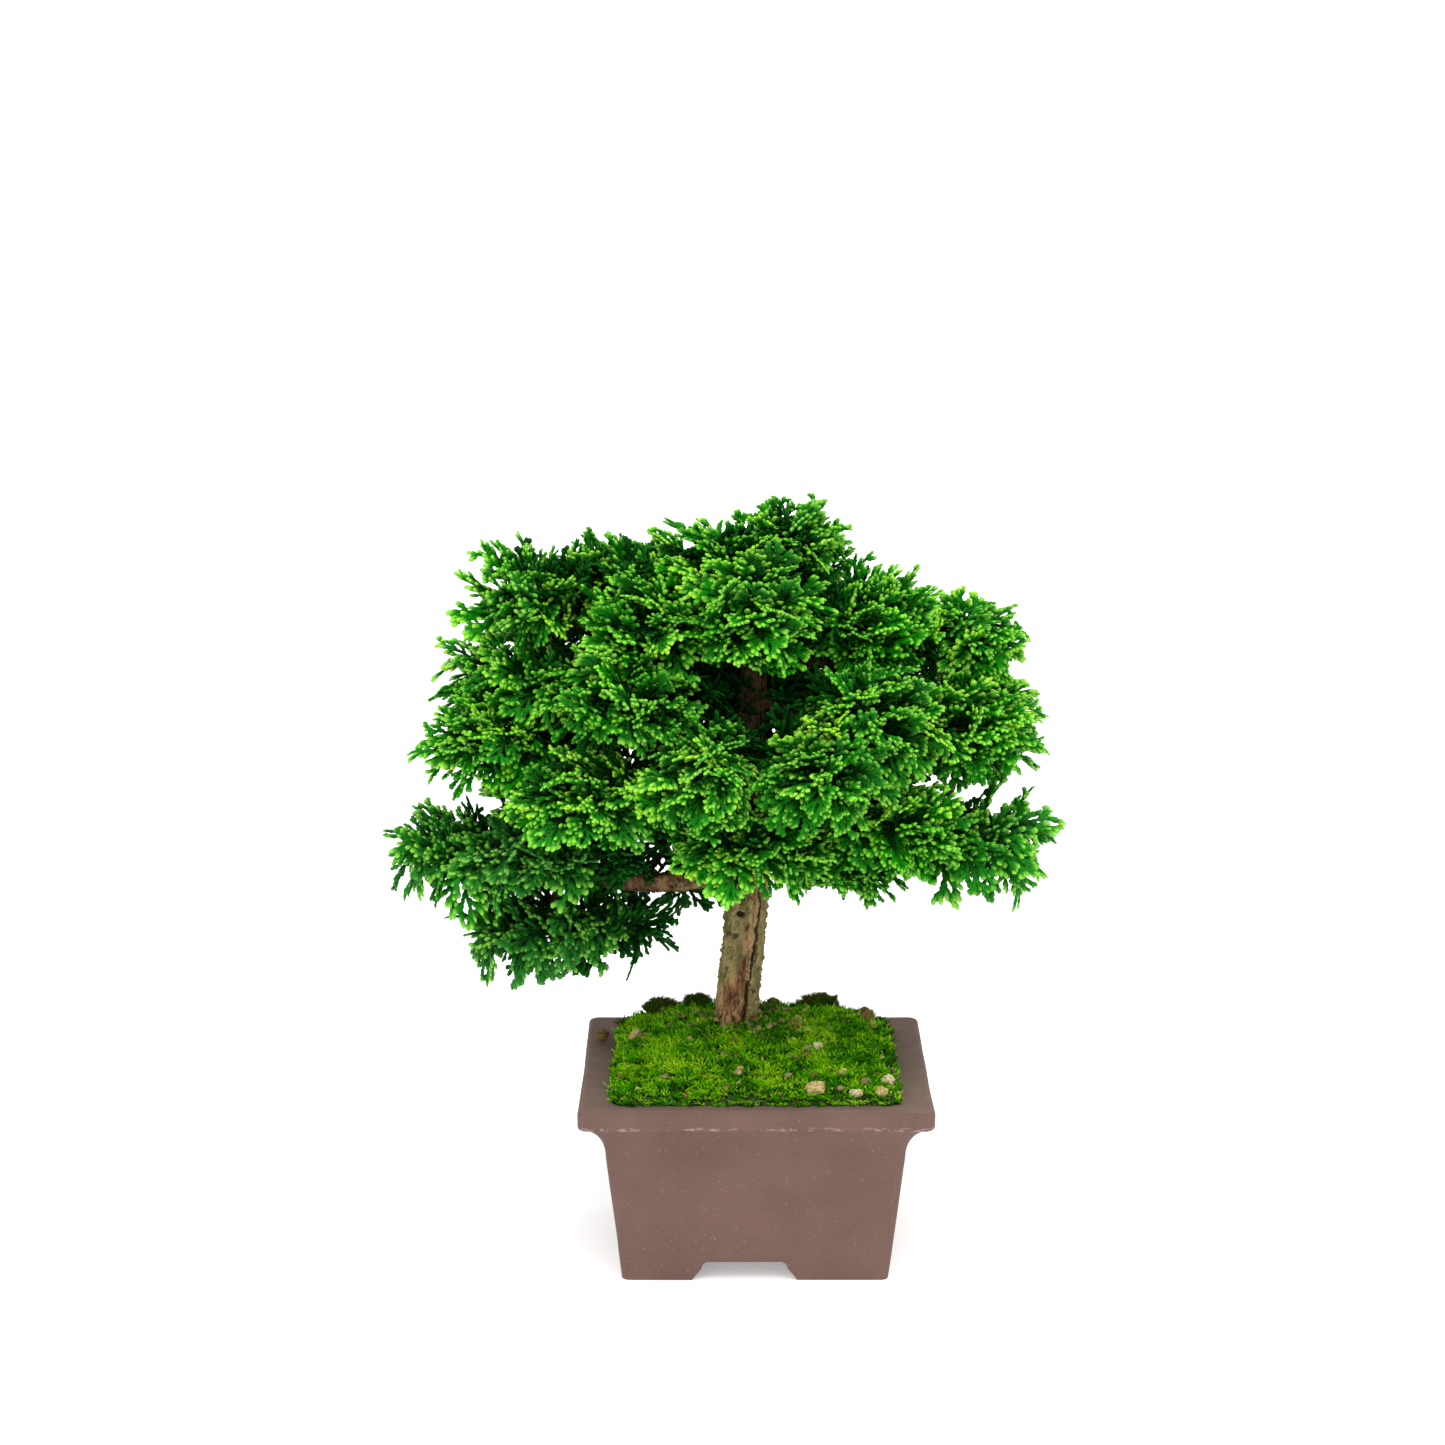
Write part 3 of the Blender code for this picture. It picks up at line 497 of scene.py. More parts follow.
def mesh_from_arrays(name, points, faces, tones, material):
    """A mesh from a list of points, faces of as many corners each, and a UV place for each point."""
    data = bpy.data.meshes.new(name)
    sides = faces.shape[1]
    data.vertices.add(len(points))
    data.vertices.foreach_set("co", points.astype(np.float32).ravel())
    data.loops.add(faces.size)
    data.loops.foreach_set("vertex_index", faces.astype(np.int32).ravel())
    data.polygons.add(len(faces))
    data.polygons.foreach_set("loop_start", np.arange(0, faces.size, sides, dtype=np.int32))
    data.polygons.foreach_set("use_smooth", np.ones(len(faces), bool))
    layer = data.uv_layers.new(name="OFBake")
    layer.data.foreach_set("uv", np.clip(tones, 0.01, 0.99)[faces.ravel()].astype(np.float32).ravel())
    data.update(calc_edges=True)
    data.validate()
    return add_object(name, data, material)


def blades(rng, foot, lean, height, width, tone):
    """Thin three-sided blades that bend over: four rings of three points, the last almost a point."""
    count = len(foot)
    turn = rng.uniform(0, 2 * math.pi, count)
    up = np.array([0.0, 0.0, 1.0])
    side = np.stack([np.cos(turn), np.sin(turn), np.zeros(count)], 1)
    rings = []
    shades = []
    for share, thick in ((0.0, 0.7), (0.4, 1.0), (0.78, 0.75), (1.0, 0.12)):
        middle = foot + height[:, None] * (share * up + lean * share**1.6)
        for corner in range(3):
            angle = 2 * math.pi * corner / 3
            across = np.cross(up, side)
            offset = side * math.cos(angle) + across * math.sin(angle)
            rings.append(middle + offset * (width * thick)[:, None])
            shades.append(np.stack([tone, np.full(count, share)], 1))
    points = np.stack(rings, 1).reshape(-1, 3)
    tones = np.stack(shades, 1).reshape(-1, 2)
    corners = []
    for ring in range(3):
        for corner in range(3):
            here = ring * 3 + corner
            ahead = ring * 3 + (corner + 1) % 3
            corners.append((here, ahead, ahead + 3, here + 3))
    faces = (np.arange(count)[:, None, None] * 12 + np.array(corners)[None]).reshape(-1, 4)
    return points, faces, tones


def moss_patch(x, y):
    """0 where the moss is yellow-green and 1 where it is deep green."""
    spot = Vector((x, y, 0))
    trunk_side = math.exp(-((x + 8 * MM) ** 2 + (y - 14 * MM) ** 2) / (22 * MM) ** 2)
    far = max(0.0, y / THROAT_Y) ** 5
    right = max(0.0, x / THROAT_X)
    patches = 0.33 + 0.55 * noise.noise(spot * 62) + 0.5 * noise.noise(spot * 300)
    return patches + 0.2 * trunk_side + 0.7 * far + 0.15 * right


def make_shoots(material):
    rng = np.random.default_rng(5)
    feet = []
    leans = []
    tones = []
    heights = []
    reach_x = THROAT_X + 1.5 * MM
    reach_y = THROAT_Y + 2.0 * MM
    for column in range(int(2 * reach_x / TUFT_SPACING)):
        for row in range(int(2 * reach_y / TUFT_SPACING)):
            x = -reach_x + (column + rng.uniform(0, 1)) * TUFT_SPACING
            y = -reach_y + (row + rng.uniform(0, 1)) * TUFT_SPACING
            over_x = max(0, abs(x) - THROAT_X + INNER_CORNER)
            over_y = max(0, abs(y) - THROAT_Y + INNER_CORNER)
            if Vector((over_x, over_y)).length > INNER_CORNER + (1.4 * MM if y < 0 else 0.4 * MM):
                continue
            edge = Vector((x / THROAT_X, y / THROAT_Y, 0))
            tuft = Vector(rng.normal(0, 0.45, 3)) + Vector((0, edge.y**5, 0)) * 0.5
            tone = moss_patch(x, y) + rng.normal(0, 0.22)
            z = ground(x, y) + moss_lumps(x, y) - edge_dip(x, y) - rng.uniform(1.2, 2.4) * MM
            z = max(z, POT_HEIGHT - LEDGE_SLOPE - 0.6 * MM)
            tall = rng.uniform(0.75, 1.2) * MM * (1 - 0.35 * max(abs(edge.x), abs(edge.y)) ** 6)
            for blade in range(BLADES):
                turn = 2 * math.pi * (blade + rng.uniform(0, 1)) / BLADES
                around = Vector((math.cos(turn), math.sin(turn), 0))
                feet.append(POT_MIDDLE + Vector((x, y, z)) + around * rng.uniform(0.1, 0.7) * MM)
                leans.append(Vector((tuft.x, tuft.y, 0)) + around * rng.uniform(0.15, 0.95))
                tones.append(tone + rng.normal(0, 0.06))
                heights.append(tall * rng.uniform(2.0, 4.6))
    feet = np.array(feet)
    leans = np.array(leans)
    tones = np.array(tones)
    heights = np.array(heights)
    widths = rng.uniform(0.26, 0.52, len(feet)) * MM
    for part, chosen in enumerate(np.array_split(np.argsort(feet[:, 0]), 3)):
        made = blades(rng, feet[chosen], leans[chosen], heights[chosen], widths[chosen], tones[chosen])
        piece = mesh_from_arrays(f"moss_shoots_{part}", *made, material)
        place_piece(piece, "green_moss", "moss_mat")


def make_green_moss():
    """Colour over tone and height: lime to deep green, and dark brown at the foot of each shoot."""
    moss, place = new_material("green_moss", Specular_IOR_Level=0.05)
    tone = place.node("UVMap", {"uv_map": "OFBake"}, {})
    age = tone.part("Y")
    tone = tone.part("X")
    tips = tone.node(
        "ValToRGB",
        {
            "stops": [
                (0.02, rgb(0.30, 0.70, 0.003)),
                (0.33, rgb(0.120, 0.56, 0.001)),
                (0.62, rgb(0.042, 0.32, 0.001)),
                (0.95, rgb(0.030, 0.105, 0.003)),
            ]
        },
        {"Fac": tone},
    )
    colour = age.rise(0.2, 0.9).mix(rgb(0.010, 0.028, 0.001), tips)
    colour = (age.rise(0.6, 1.0) * 0.7).mix(colour, tone.rise(0.05, 0.6).mix(rgb(0.66, 1.0, 0.03), tips))
    wear(moss, colour, 0.7)
    return moss


def make_mat_material():
    mat, place = new_material("moss_mat")
    fine = place.noise(700, 4, 0.7)
    colour = fine.rise(0.35, 0.65).mix(rgb(0.012, 0.020, 0.003), rgb(0.06, 0.11, 0.008))
    wear(mat, colour, 0.95, fine, 0.8 * MM)
    return mat


green_moss = make_green_moss()
make_mat(make_mat_material())
make_shoots(green_moss)

# ---------------------------------------------------------------- dark moss clumps
# Older velvety cushions of a darker moss sit along the back edge. They are short and dense, and
# brown where they have dried.

PILE_SHOOTS = 1500


def lump_mesh(middle, half, seed, subdivisions, rough, scale, chips=0):
    """A closed lump: a ball pressed to its half sizes, rough at a few scales and chipped flat in places."""
    rng = np.random.default_rng(round(seed.length * 1000))
    flats = [(random_unit(rng), rng.uniform(0.62, 0.86)) for _ in range(chips)]
    shape = bmesh.new()
    bmesh.ops.create_icosphere(shape, subdivisions=subdivisions, radius=1.0)
    for vertex in shape.verts:
        spot = vertex.co * scale + seed
        bulge = noise.noise(spot) + 0.5 * noise.noise(spot * 2.3) + 0.25 * noise.noise(spot * 5.1)
        for away, reach in flats:
            vertex.co -= away * 0.92 * max(0.0, vertex.co.dot(away) - reach)
        vertex.co = middle + Vector([a * b for a, b in zip(vertex.co * (1 + rough * bulge), half)])
    return shape


def random_unit(rng):
    return Vector(rng.normal(0, 1, 3)).normalized()


def node_middle(name):
    low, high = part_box(name)
    return (low + high) / 2, (high - low) / 2


def make_clumps():
    velvet, place = new_material("dark_moss", Specular_IOR_Level=0.1)
    pile = place.noise(900, 4, 0.7)
    dry = place.noise(110, 3).rise(0.45, 0.62)
    shade = place.node("UVMap", {"uv_map": "OFBake"}, {}).part("Y")
    colour = dry.mix(rgb(0.095, 0.230, 0.014), rgb(0.230, 0.170, 0.040))
    colour = shade.rise(0.0, 0.5).mix(rgb(0.055, 0.085, 0.010), colour)
    wear(velvet, pile.rise(0.32, 0.68).mix(rgb(0.035, 0.060, 0.006), colour), 0.95, pile, 0.7 * MM)
    rng = np.random.default_rng(8)
    for index, name in enumerate(("moss_clump_left", "moss_clump_back", "moss_clump_right")):
        middle, half = node_middle(name)
        shape = lump_mesh(middle, half * 0.88, Vector((index * 7, 3, 1)), 5, 0.42, 2.2)
        spots = [(vertex.co - middle, vertex.co.copy()) for vertex in shape.verts]
        clump = from_bmesh(name + "_cushion", shape, velvet)
        clump.data.shade_smooth()
        place_piece(clump, "dark_moss", name)
        picked = [spots[i] for i in rng.choice(len(spots), PILE_SHOOTS, replace=False)]
        picked = [(away, spot) for away, spot in picked if away.z > -0.2 * half.z]
        feet = np.array([spot for _, spot in picked])
        leans = np.array([Vector((away.x, away.y, 0)) * 120 for away, _ in picked])
        leans[:, :2] += rng.normal(0, 0.5, (len(picked), 2))
        size = rng.uniform(0.9, 2.2, len(picked)) * MM
        made = blades(rng, feet, leans, size, np.full(len(picked), 0.22 * MM), rng.uniform(0, 1, len(picked)))
        place_piece(mesh_from_arrays(name + "_pile", *made, velvet), "dark_moss", name)


make_clumps()

# ---------------------------------------------------------------- stones and clay lumps
# Grit that has worked up through the moss: porous yellow and cream pumice, grey and tan stones,
# and crumbs of baked clay. Each lies loose in a hollow of the mat.

STONE_COLOURS = {
    "tan": (rgb(0.36, 0.25, 0.085), rgb(0.66, 0.52, 0.24)),
    "cream": (rgb(0.43, 0.36, 0.17), rgb(0.76, 0.68, 0.40)),
    "grey": (rgb(0.17, 0.14, 0.055), rgb(0.40, 0.34, 0.15)),
    "clay": (rgb(0.080, 0.050, 0.013), rgb(0.25, 0.155, 0.040)),
}
STONE_KINDS = {"white": "cream", "pale": "cream"}  # by the last word of a stone's name
CRUMB_COUNTS = {"clay": 110, "grey": 60, "tan": 40}


def stone_material(kind):
    dark, light = STONE_COLOURS[kind]
    stone, place = new_material("stone_" + kind, Specular_IOR_Level=0.3)
    grain = place.noise(900, 4, 0.65)
    pores = place.node("TexVoronoi", {"feature": "F1"}, {"Vector": place, "Scale": 1100.0})
    # Painted shade: the open pores are darkened to a near-black brown, as if shaded inside.
    shaded_pores = 1 - pores.rise(0.10, 0.30)
    colour = grain.rise(0.35, 0.65).mix(dark, light)
    colour = (shaded_pores * 0.7).mix(colour, rgb(0.05, 0.032, 0.015))
    wear(stone, colour, 0.85, grain * 0.6 - shaded_pores * 0.5, 0.5 * MM)
    return stone


def make_stones():
    kinds = {kind: stone_material(kind) for kind in STONE_COLOURS}
    names = sorted(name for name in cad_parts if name.startswith(("stone_", "clay_lump_")))
    for index, name in enumerate(names):
        words = name.split("_")
        kind = "clay" if words[0] == "clay" else STONE_KINDS.get(words[-1], words[-1])
        middle, half = node_middle(name)
        seed = Vector((index * 5.3, index * 1.7, 2))
        shape = lump_mesh(middle, half * 1.1, seed, 5, 0.22, 1.6, 9)
        if name == "stone_front_tan":
            carve_hollow(shape, middle, half)
        stone = from_bmesh(name + "_grit", shape, kinds[kind])
        stone.data.shade_smooth()
        place_piece(stone, "baked_clay_lump" if kind == "clay" else "loose_stone", name)
    make_crumbs(kinds)


def mesh_without_tones(name, points, faces, material):
    """A mesh whose material takes its colours and finish from its place alone."""
    made = mesh_from_arrays(name, np.array(points), faces, np.zeros((len(points), 2)), material)
    made.data.uv_layers.remove(made.data.uv_layers["OFBake"])
    return made


def make_crumbs(kinds):
    """Crumbs of baked clay, bark and grit among the moss shoots, more of them round the trunk."""
    rng = np.random.default_rng(21)
    for kind, count in CRUMB_COUNTS.items():
        points = []
        faces = []
        for _ in range(count):
            x = rng.uniform(-0.97, 0.97) * THROAT_X
            y = rng.uniform(-0.97, 0.97) * THROAT_Y
            if rng.uniform() < 0.5:
                x = -7 * MM + rng.normal(0, 17) * MM
                y = min(16 * MM + rng.normal(0, 10) * MM, THROAT_Y * 0.95)
            rise = ground(x, y) + moss_lumps(x, y) + rng.uniform(0.2, 1.6) * MM
            size = rng.uniform(0.5, 1.7) * MM * Vector((1.3, 1.0, 0.8))
            middle = POT_MIDDLE + Vector((x, y, rise))
            shape = lump_mesh(middle, size, Vector(rng.uniform(0, 90, 3)), 2, 0.4, 1.2, 5)
            turn = Matrix.Rotation(rng.uniform(0, math.pi), 3, "Z")
            faces += [[vertex.index + len(points) for vertex in face.verts] for face in shape.faces]
            points += [middle + turn @ (vertex.co - middle) for vertex in shape.verts]
            shape.free()
        piece = mesh_without_tones("crumbs_" + kind, points, np.array(faces), kinds[kind])
        place_piece(piece, "baked_clay_lump" if kind == "clay" else "loose_stone")


def carve_hollow(shape, middle, half):
    """A dent in the front of the biggest stone."""
    dent = middle + Vector((half.x * 0.15, -half.y * 1.05, half.z * 0.45))
    for vertex in shape.verts:
        near = math.exp(-(((vertex.co - dent).length / (half.x * 0.5)) ** 2))
        vertex.co += (middle - vertex.co) * 0.5 * near


make_stones()

# ---------------------------------------------------------------- trunk and limbs
# The wood grew as one piece. Its bark is reddish brown and fibrous at the foot and in a strip up
# the front; elsewhere it is flaky plates with an olive film of algae. A seam runs up on the right.

TRUNK_RADIUS = 9.5 * MM
ROOT_DEPTH = 34 * MM
CROWN = Vector((147 * MM, 100 * MM, 237 * MM))
TRUNK_BASE = POT_MIDDLE + Vector((-8.3 * MM, 18 * MM, ground(-8.3 * MM, 18 * MM)))
TRUNK_VIA = [
    (0.031, 0.0, 0.215),
    (0.041, 0.0, 0.435),
    (0.048, 0.01, 0.63),
    (0.08, 0.02, 0.79),
    (0.12, 0.0, 0.88),
]
TRUNK_SHARES = [1.0, 0.98, 0.97, 0.84, 0.62, 0.4, 0.22]  # of the trunk's radius, up from the root
LIMB_TAPER = 0.62
KNOT_TURN = math.radians(-17)  # where the knot is, around from the front
KNOT_HEIGHT = 51 * MM
KNOT_RADIUS = 2.1 * MM
TRUNK_SIDES = 168
TRUNK_RELIEF = 1.3 * MM  # from the bottom of a crack to the top of a plate
LIMB_SIDES = 40
LIMB_RELIEF = 0.8 * MM
TWIG_SIDES = 12
TWIG_RADII = [1.9 * MM, 1.5 * MM, 0.8 * MM]
TWIG_SAG = 0.08  # of a twig's length

# Each limb: where it starts along the trunk, its radius, and its route in shares of the crown.
LIMBS = {
    "left_low": (0.39, 5.6 * MM, [(-0.2, 0.0, 0.265), (-0.45, 0.02, 0.27), (-0.7, 0.02, 0.29)]),
    "right_low": (0.47, 4.2 * MM, [(0.2, -0.05, 0.375), (0.42, -0.12, 0.385), (0.56, -0.12, 0.37)]),
    "back_left": (0.45, 3.6 * MM, [(-0.15, 0.2, 0.32), (-0.33, 0.36, 0.33)]),
    "back_right": (0.49, 3.6 * MM, [(0.17, 0.2, 0.34), (0.3, 0.36, 0.34)]),
    "front": (0.54, 4.0 * MM, [(0.05, -0.3, 0.45), (0.07, -0.55, 0.49)]),
    "left_mid": (0.58, 4.4 * MM, [(-0.2, -0.1, 0.47), (-0.42, -0.18, 0.5), (-0.56, -0.16, 0.52)]),
    "back": (0.60, 3.8 * MM, [(0.0, 0.28, 0.5), (-0.02, 0.55, 0.54)]),
    "right_mid": (0.66, 4.0 * MM, [(0.27, -0.05, 0.55), (0.5, -0.1, 0.57)]),
    "upper_right": (0.74, 3.6 * MM, [(0.3, 0.08, 0.67), (0.55, 0.1, 0.69)]),
    "upper_left": (0.76, 3.8 * MM, [(-0.2, 0.03, 0.7), (-0.45, 0.03, 0.74)]),
}


def in_crown(place):
    return TRUNK_BASE + Vector([share * size for share, size in zip(place, CROWN)])


def smooth_route(points, values, step):
    """A Catmull-Rom curve with a point every step, and a value that changes evenly along it."""
    ends = [2 * points[0] - points[1], *points, 2 * points[-1] - points[-2]]
    route = []
    spread = []
    for index, (a, b, c, d) in enumerate(zip(ends, ends[1:], ends[2:], ends[3:])):
        pieces = max(1, round((c - b).length / step))
        for piece in range(pieces):
            t = piece / pieces
            bend = (2 * a - 5 * b + 4 * c - d) * t**2 + (3 * b - a - 3 * c + d) * t**3
            route.append(0.5 * (2 * b + (c - a) * t + bend))
            spread.append(values[index] + (values[index + 1] - values[index]) * t)
    return route + [points[-1]], spread + [values[-1]]


def plates(spot, scale, upright, warp, seed):
    """1 on a plate of bark and 0 in the crack round it. The plates are longer along the wood."""
    bent = spot + noise.noise_vector(spot * 420 + seed) * warp
    bent = Vector((bent.x, bent.y, bent.z * upright))
    near = noise.voronoi(bent * scale + seed)[0]
    return min(1.0, (near[1] - near[0]) * 2.6)


def limb_bark(spot, seed, _angle):
    """The bark of a limb: short plates. Returns its depth and its share of algae."""
    depth = 0.7 * plates(spot, 330, 0.4, 1.4 * MM, seed) + 0.3 * plates(spot, 800, 0.5, 0.6 * MM, seed)
    return depth, 0.35 + 0.5 * noise.noise(spot * 90 + seed)


def trunk_bark(spot, seed, angle):
    """The bark of the trunk, with its seam and its knot. The angle is 0 at the front."""
    height = spot.z
    wander = 0.14 * noise.noise(Vector((height * 90, 3, 0)))
    strip = math.radians(4) + wander + math.radians(22) * min(1.0, max(0.0, height / (60 * MM)))
    strip_half = 0.17 + 1.1 * math.exp(-((height / (21 * MM)) ** 4))
    beside = strip - angle if angle < strip else (angle - strip) * 3.5
    blotch = 1.1 * noise.noise(spot * 200 + seed) + 0.8 * noise.noise(spot * 520)
    algae = min(1.0, max(0.0, (beside - strip_half) * 4.2 + blotch + 0.25))
    fibrous = noise.fractal(Vector((spot.x, spot.y, spot.z * 0.11)) * 1100, 0.7, 2.0, 4)
    long_plates = plates(spot, 310, 0.22, 1.5 * MM, seed)
    flakes = plates(spot, 420, 0.8, 1.6 * MM, seed)
    chips = plates(spot, 1000, 0.7, 0.7 * MM, seed)
    smooth = (0.25 + 0.75 * long_plates) * (0.75 + 0.5 * fibrous)
    flaky = (0.1 + 0.9 * flakes) * (0.45 + 0.55 * chips) + 0.5 * noise.noise(spot * 300) + 0.15
    depth = smooth + (flaky - smooth) * algae
    seam = strip + 0.27 + 0.1 * noise.noise(Vector((height * 260, 9, 0)))
    depth -= 1.1 * math.exp(-(((angle - seam) / 0.055) ** 2))
    across = (angle - KNOT_TURN) * TRUNK_RADIUS
    ring = math.hypot(across, (height - KNOT_HEIGHT) * 1.6) / KNOT_RADIUS
    depth += 1.1 * math.exp(-(((ring - 1.5) / 0.55) ** 2)) - 3.4 * math.exp(-((ring / 0.85) ** 4))
    return depth, algae


def wood_tube(wood, sides, relief, bark, seed):
    """Rings of points around a route, pushed out by its bark, and the bark's depth and algae there."""
    route, radii = wood
    points = []
    depths = []
    films = []
    side = Vector((0, -1, 0)) if bark is trunk_bark else (route[1] - route[0]).orthogonal().normalized()
    for i, point in enumerate(route):
        ahead = (route[min(i + 1, len(route) - 1)] - route[max(i - 1, 0)]).normalized()
        side = (side - ahead * side.dot(ahead)).normalized()
        other = ahead.cross(side)
        for k in range(sides):
            angle = 2 * math.pi * ((k + sides // 2) % sides) / sides - math.pi
            outward = side * math.cos(angle) + other * math.sin(angle)
            spot = point + outward * radii[i] - TRUNK_BASE
            depth, algae = bark(spot, seed, angle)
            points.append(point + outward * (radii[i] + relief * (max(-1.6, depth) - 0.62)))
            depths.append(depth)
            films.append(algae)
    return points, depths, films


def tube_faces(rings, sides):
    """Quads between the rings of a tube, and quads that close each end."""
    faces = []
    for ring in range(rings - 1):
        for k in range(sides):
            here = ring * sides + k
            ahead = ring * sides + (k + 1) % sides
            faces.append([here, ahead, ahead + sides, here + sides])
    for start, flip in ((0, True), ((rings - 1) * sides, False)):
        for k in range(1, sides - 1, 2):
            corners = [start, start + k, start + k + 1, start + (k + 2) % sides]
            faces.append(corners[::-1] if flip else corners)
    return np.array(faces)


def wood_piece(name, woods, relief, material):
    """One mesh of several closed tubes, with the bark's depth and algae stored on its points."""
    points = []
    depths = []
    films = []
    faces = []
    for index, (wood, sides, bark) in enumerate(woods):
        faces.append(tube_faces(len(wood[0]), sides) + len(points))
        made, deep, film = wood_tube(wood, sides, relief, bark, Vector((index * 3.1, 7, index)))
        points += made
        depths += deep
        films += film
    piece = mesh_without_tones(name, points, np.vstack(faces), material)
    for label, values in (("bark_depth", depths), ("bark_algae", films)):
        stored = piece.data.attributes.new(label, "FLOAT", "POINT")
        stored.data.foreach_set("value", np.array(values, np.float32))
    return piece


def make_bark():
    bark, place = new_material("tree_bark", Specular_IOR_Level=0.2)
    depth = place.node("Attribute", {"attribute_name": "bark_depth"}, {}, 2)
    algae = place.node("Attribute", {"attribute_name": "bark_algae"}, {}, 2)
    patches = place.stretch(1, 1, 0.35).noise(260, 4, 0.6)
    grain = place.noise(1500, 4, 0.7)
    brown = patches.rise(0.36, 0.64).mix(rgb(0.180, 0.084, 0.034), rgb(0.430, 0.245, 0.115))
    fibres = place.stretch(1, 1, 0.14).noise(1500, 4, 0.65)
    brown = (fibres.rise(0.55, 0.75) * 0.7).mix(brown, rgb(0.44, 0.30, 0.17))
    olive = patches.rise(0.36, 0.64).mix(rgb(0.160, 0.130, 0.042), rgb(0.350, 0.275, 0.118))
    olive = (grain.rise(0.55, 0.72) * 0.6).mix(olive, rgb(0.42, 0.36, 0.20))
    colour = algae.rise(0.25, 0.75).mix(brown, olive)
    # Painted shade: the wood higher up, inside the crown, is darkened toward a near-black brown.
    crown_shade = place.part("Z").rise(TRUNK_BASE.z + 70 * MM, TRUNK_BASE.z + 110 * MM)
    colour = (crown_shade * 0.65).mix(colour, rgb(0.050, 0.030, 0.018))
    # Painted shade: the cracks between the bark's plates are darkened almost to black.
    crack = 1 - depth.rise(0.05, 0.5)
    colour = (crack * 0.9).mix(colour, rgb(0.022, 0.012, 0.007))
    wear(bark, colour, 0.88, grain * 0.5 + fibres * 0.5, 0.3 * MM)
    return bark


def make_wood(bark):
    """The trunk, the limbs, and a twig into the middle of each pad of foliage. Returns their routes."""
    root = TRUNK_BASE - Vector((0, 0, ROOT_DEPTH))
    knots = [root, TRUNK_BASE] + [in_crown(place) for place in TRUNK_VIA]
    radii = [TRUNK_RADIUS * share for share in TRUNK_SHARES]
    shown = [knots[0].lerp(knots[1], 0.6)] + knots[1:]
    limbs = {"trunk": smooth_route(shown, radii, 0.6 * MM)}
    piece = wood_piece("trunk", [(limbs["trunk"], TRUNK_SIDES, trunk_bark)], TRUNK_RELIEF, bark)
    place_piece(piece, "tree_bark", "tree")
    for name, (start, radius, via) in LIMBS.items():
        spot = start * (len(knots) - 1)
        index = min(int(spot), len(knots) - 2)
        origin = knots[index].lerp(knots[index + 1], spot - index)
        route = [origin] + [in_crown(place) for place in via]
        sizes = [radius * (1 - LIMB_TAPER * i / (len(route) - 1)) for i in range(len(route))]
        limbs[name] = smooth_route(route, sizes, 0.9 * MM)
    woods = [(wood, LIMB_SIDES, limb_bark) for name, wood in limbs.items() if name != "trunk"]
    ends = [point for route, _ in limbs.values() for point in route[len(route) // 3 :]]
    for name in sorted(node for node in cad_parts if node.startswith("foliage_")):
        middle, _ = node_middle(name)
        start = min(ends, key=lambda point: (point - middle).length + 2.0 * max(0.0, point.z - middle.z))
        bent = start.lerp(middle, 0.5) - Vector((0, 0, (middle - start).length * TWIG_SAG))
        twig = smooth_route([start, bent, middle], TWIG_RADII, 1.2 * MM)
        woods.append((twig, TWIG_SIDES, limb_bark))
    piece = wood_piece("limbs", woods, LIMB_RELIEF, bark)
    place_piece(piece, "tree_bark", "tree")
    return limbs


limbs = make_wood(make_bark())

# ---------------------------------------------------------------- foliage
# Loose flat sprays of finger-like shoots, clad in scale leaves, with the youngest at the tips bright
# lime. Each pad is a cushion of sprays that spread from the end of a twig, tips outward.

FAN_LENGTH = 24 * MM
SCALE_PITCH = 1.5 * MM
SHOOT_WIDTH = 1.06 * MM
SHOOT_FLATNESS = 0.74
YOUNG_LENGTH = 12 * MM  # how far back from a tip the leaves are not yet dark
FAN_KINDS = 12
INNER_KINDS = 4
FAN_REACH = 5 * MM  # how far the tips stand out of their pad's skin
FAN_SPREAD = 190 * MM * MM  # the skin that one fan covers
HANGING = ("foliage_left_tip", "foliage_left_low", "foliage_left_hanging", "foliage_right_tip")
GOLDEN_ANGLE = math.pi * (3 - math.sqrt(5))


def shoot_line(start, heading, length, bend, lift, pitch):
    """The middle line of a shoot: a bent line in the fan's plane that lifts out of it a little."""
    pairs = max(2, round(length / pitch))
    shares = []
    for pair in range(pairs):
        shares += [pair / pairs, (pair + 0.6) / pairs]
    shares = np.array(shares[1:] + [1.0])
    shares[0] = 0.0
    turn = heading + bend * shares
    steps = np.diff(shares, prepend=0.0) * length
    line = np.stack([np.cos(turn) * steps, np.sin(turn) * steps, lift * steps], 1)
    return np.cumsum(line, 0) + start, turn, shares, length


def scale_shoot(line, width, sides):
    """One shoot along a line of its fan: rings that swell at each pair of scales, and a lobed tip."""
    middle, turn, shares, length = line
    swells = np.tile([0.70, 1.0], len(shares))[: len(shares)]
    swells[-4:] = (1.02, 0.78, 1.05, 0.55)
    lobes = np.ones(len(shares))
    lobes[-4:] = (1.38, 1.1, 1.0, 1.0)
    angles = 2 * math.pi * np.arange(sides) / sides
    across = np.stack([-np.sin(turn), np.cos(turn), np.zeros(len(turn))], 1) * lobes[:, None]
    flat = across[:, None] * np.cos(angles)[None, :, None]
    thick = np.array([0.0, 0.0, SHOOT_FLATNESS]) * np.sin(angles)[None, :, None]
    points = middle[:, None] + (flat + thick) * (width * swells)[:, None, None]
    age = np.clip(1 - length * (1 - shares) / YOUNG_LENGTH, 0, 1)
    under = np.where(np.sin(angles) < -0.1, 0.25, 0.0)
    tones = np.stack([np.tile(under, len(shares)), np.repeat(age, sides)], 1)
    return points.reshape(-1, 3), tube_faces(len(shares), sides), tones


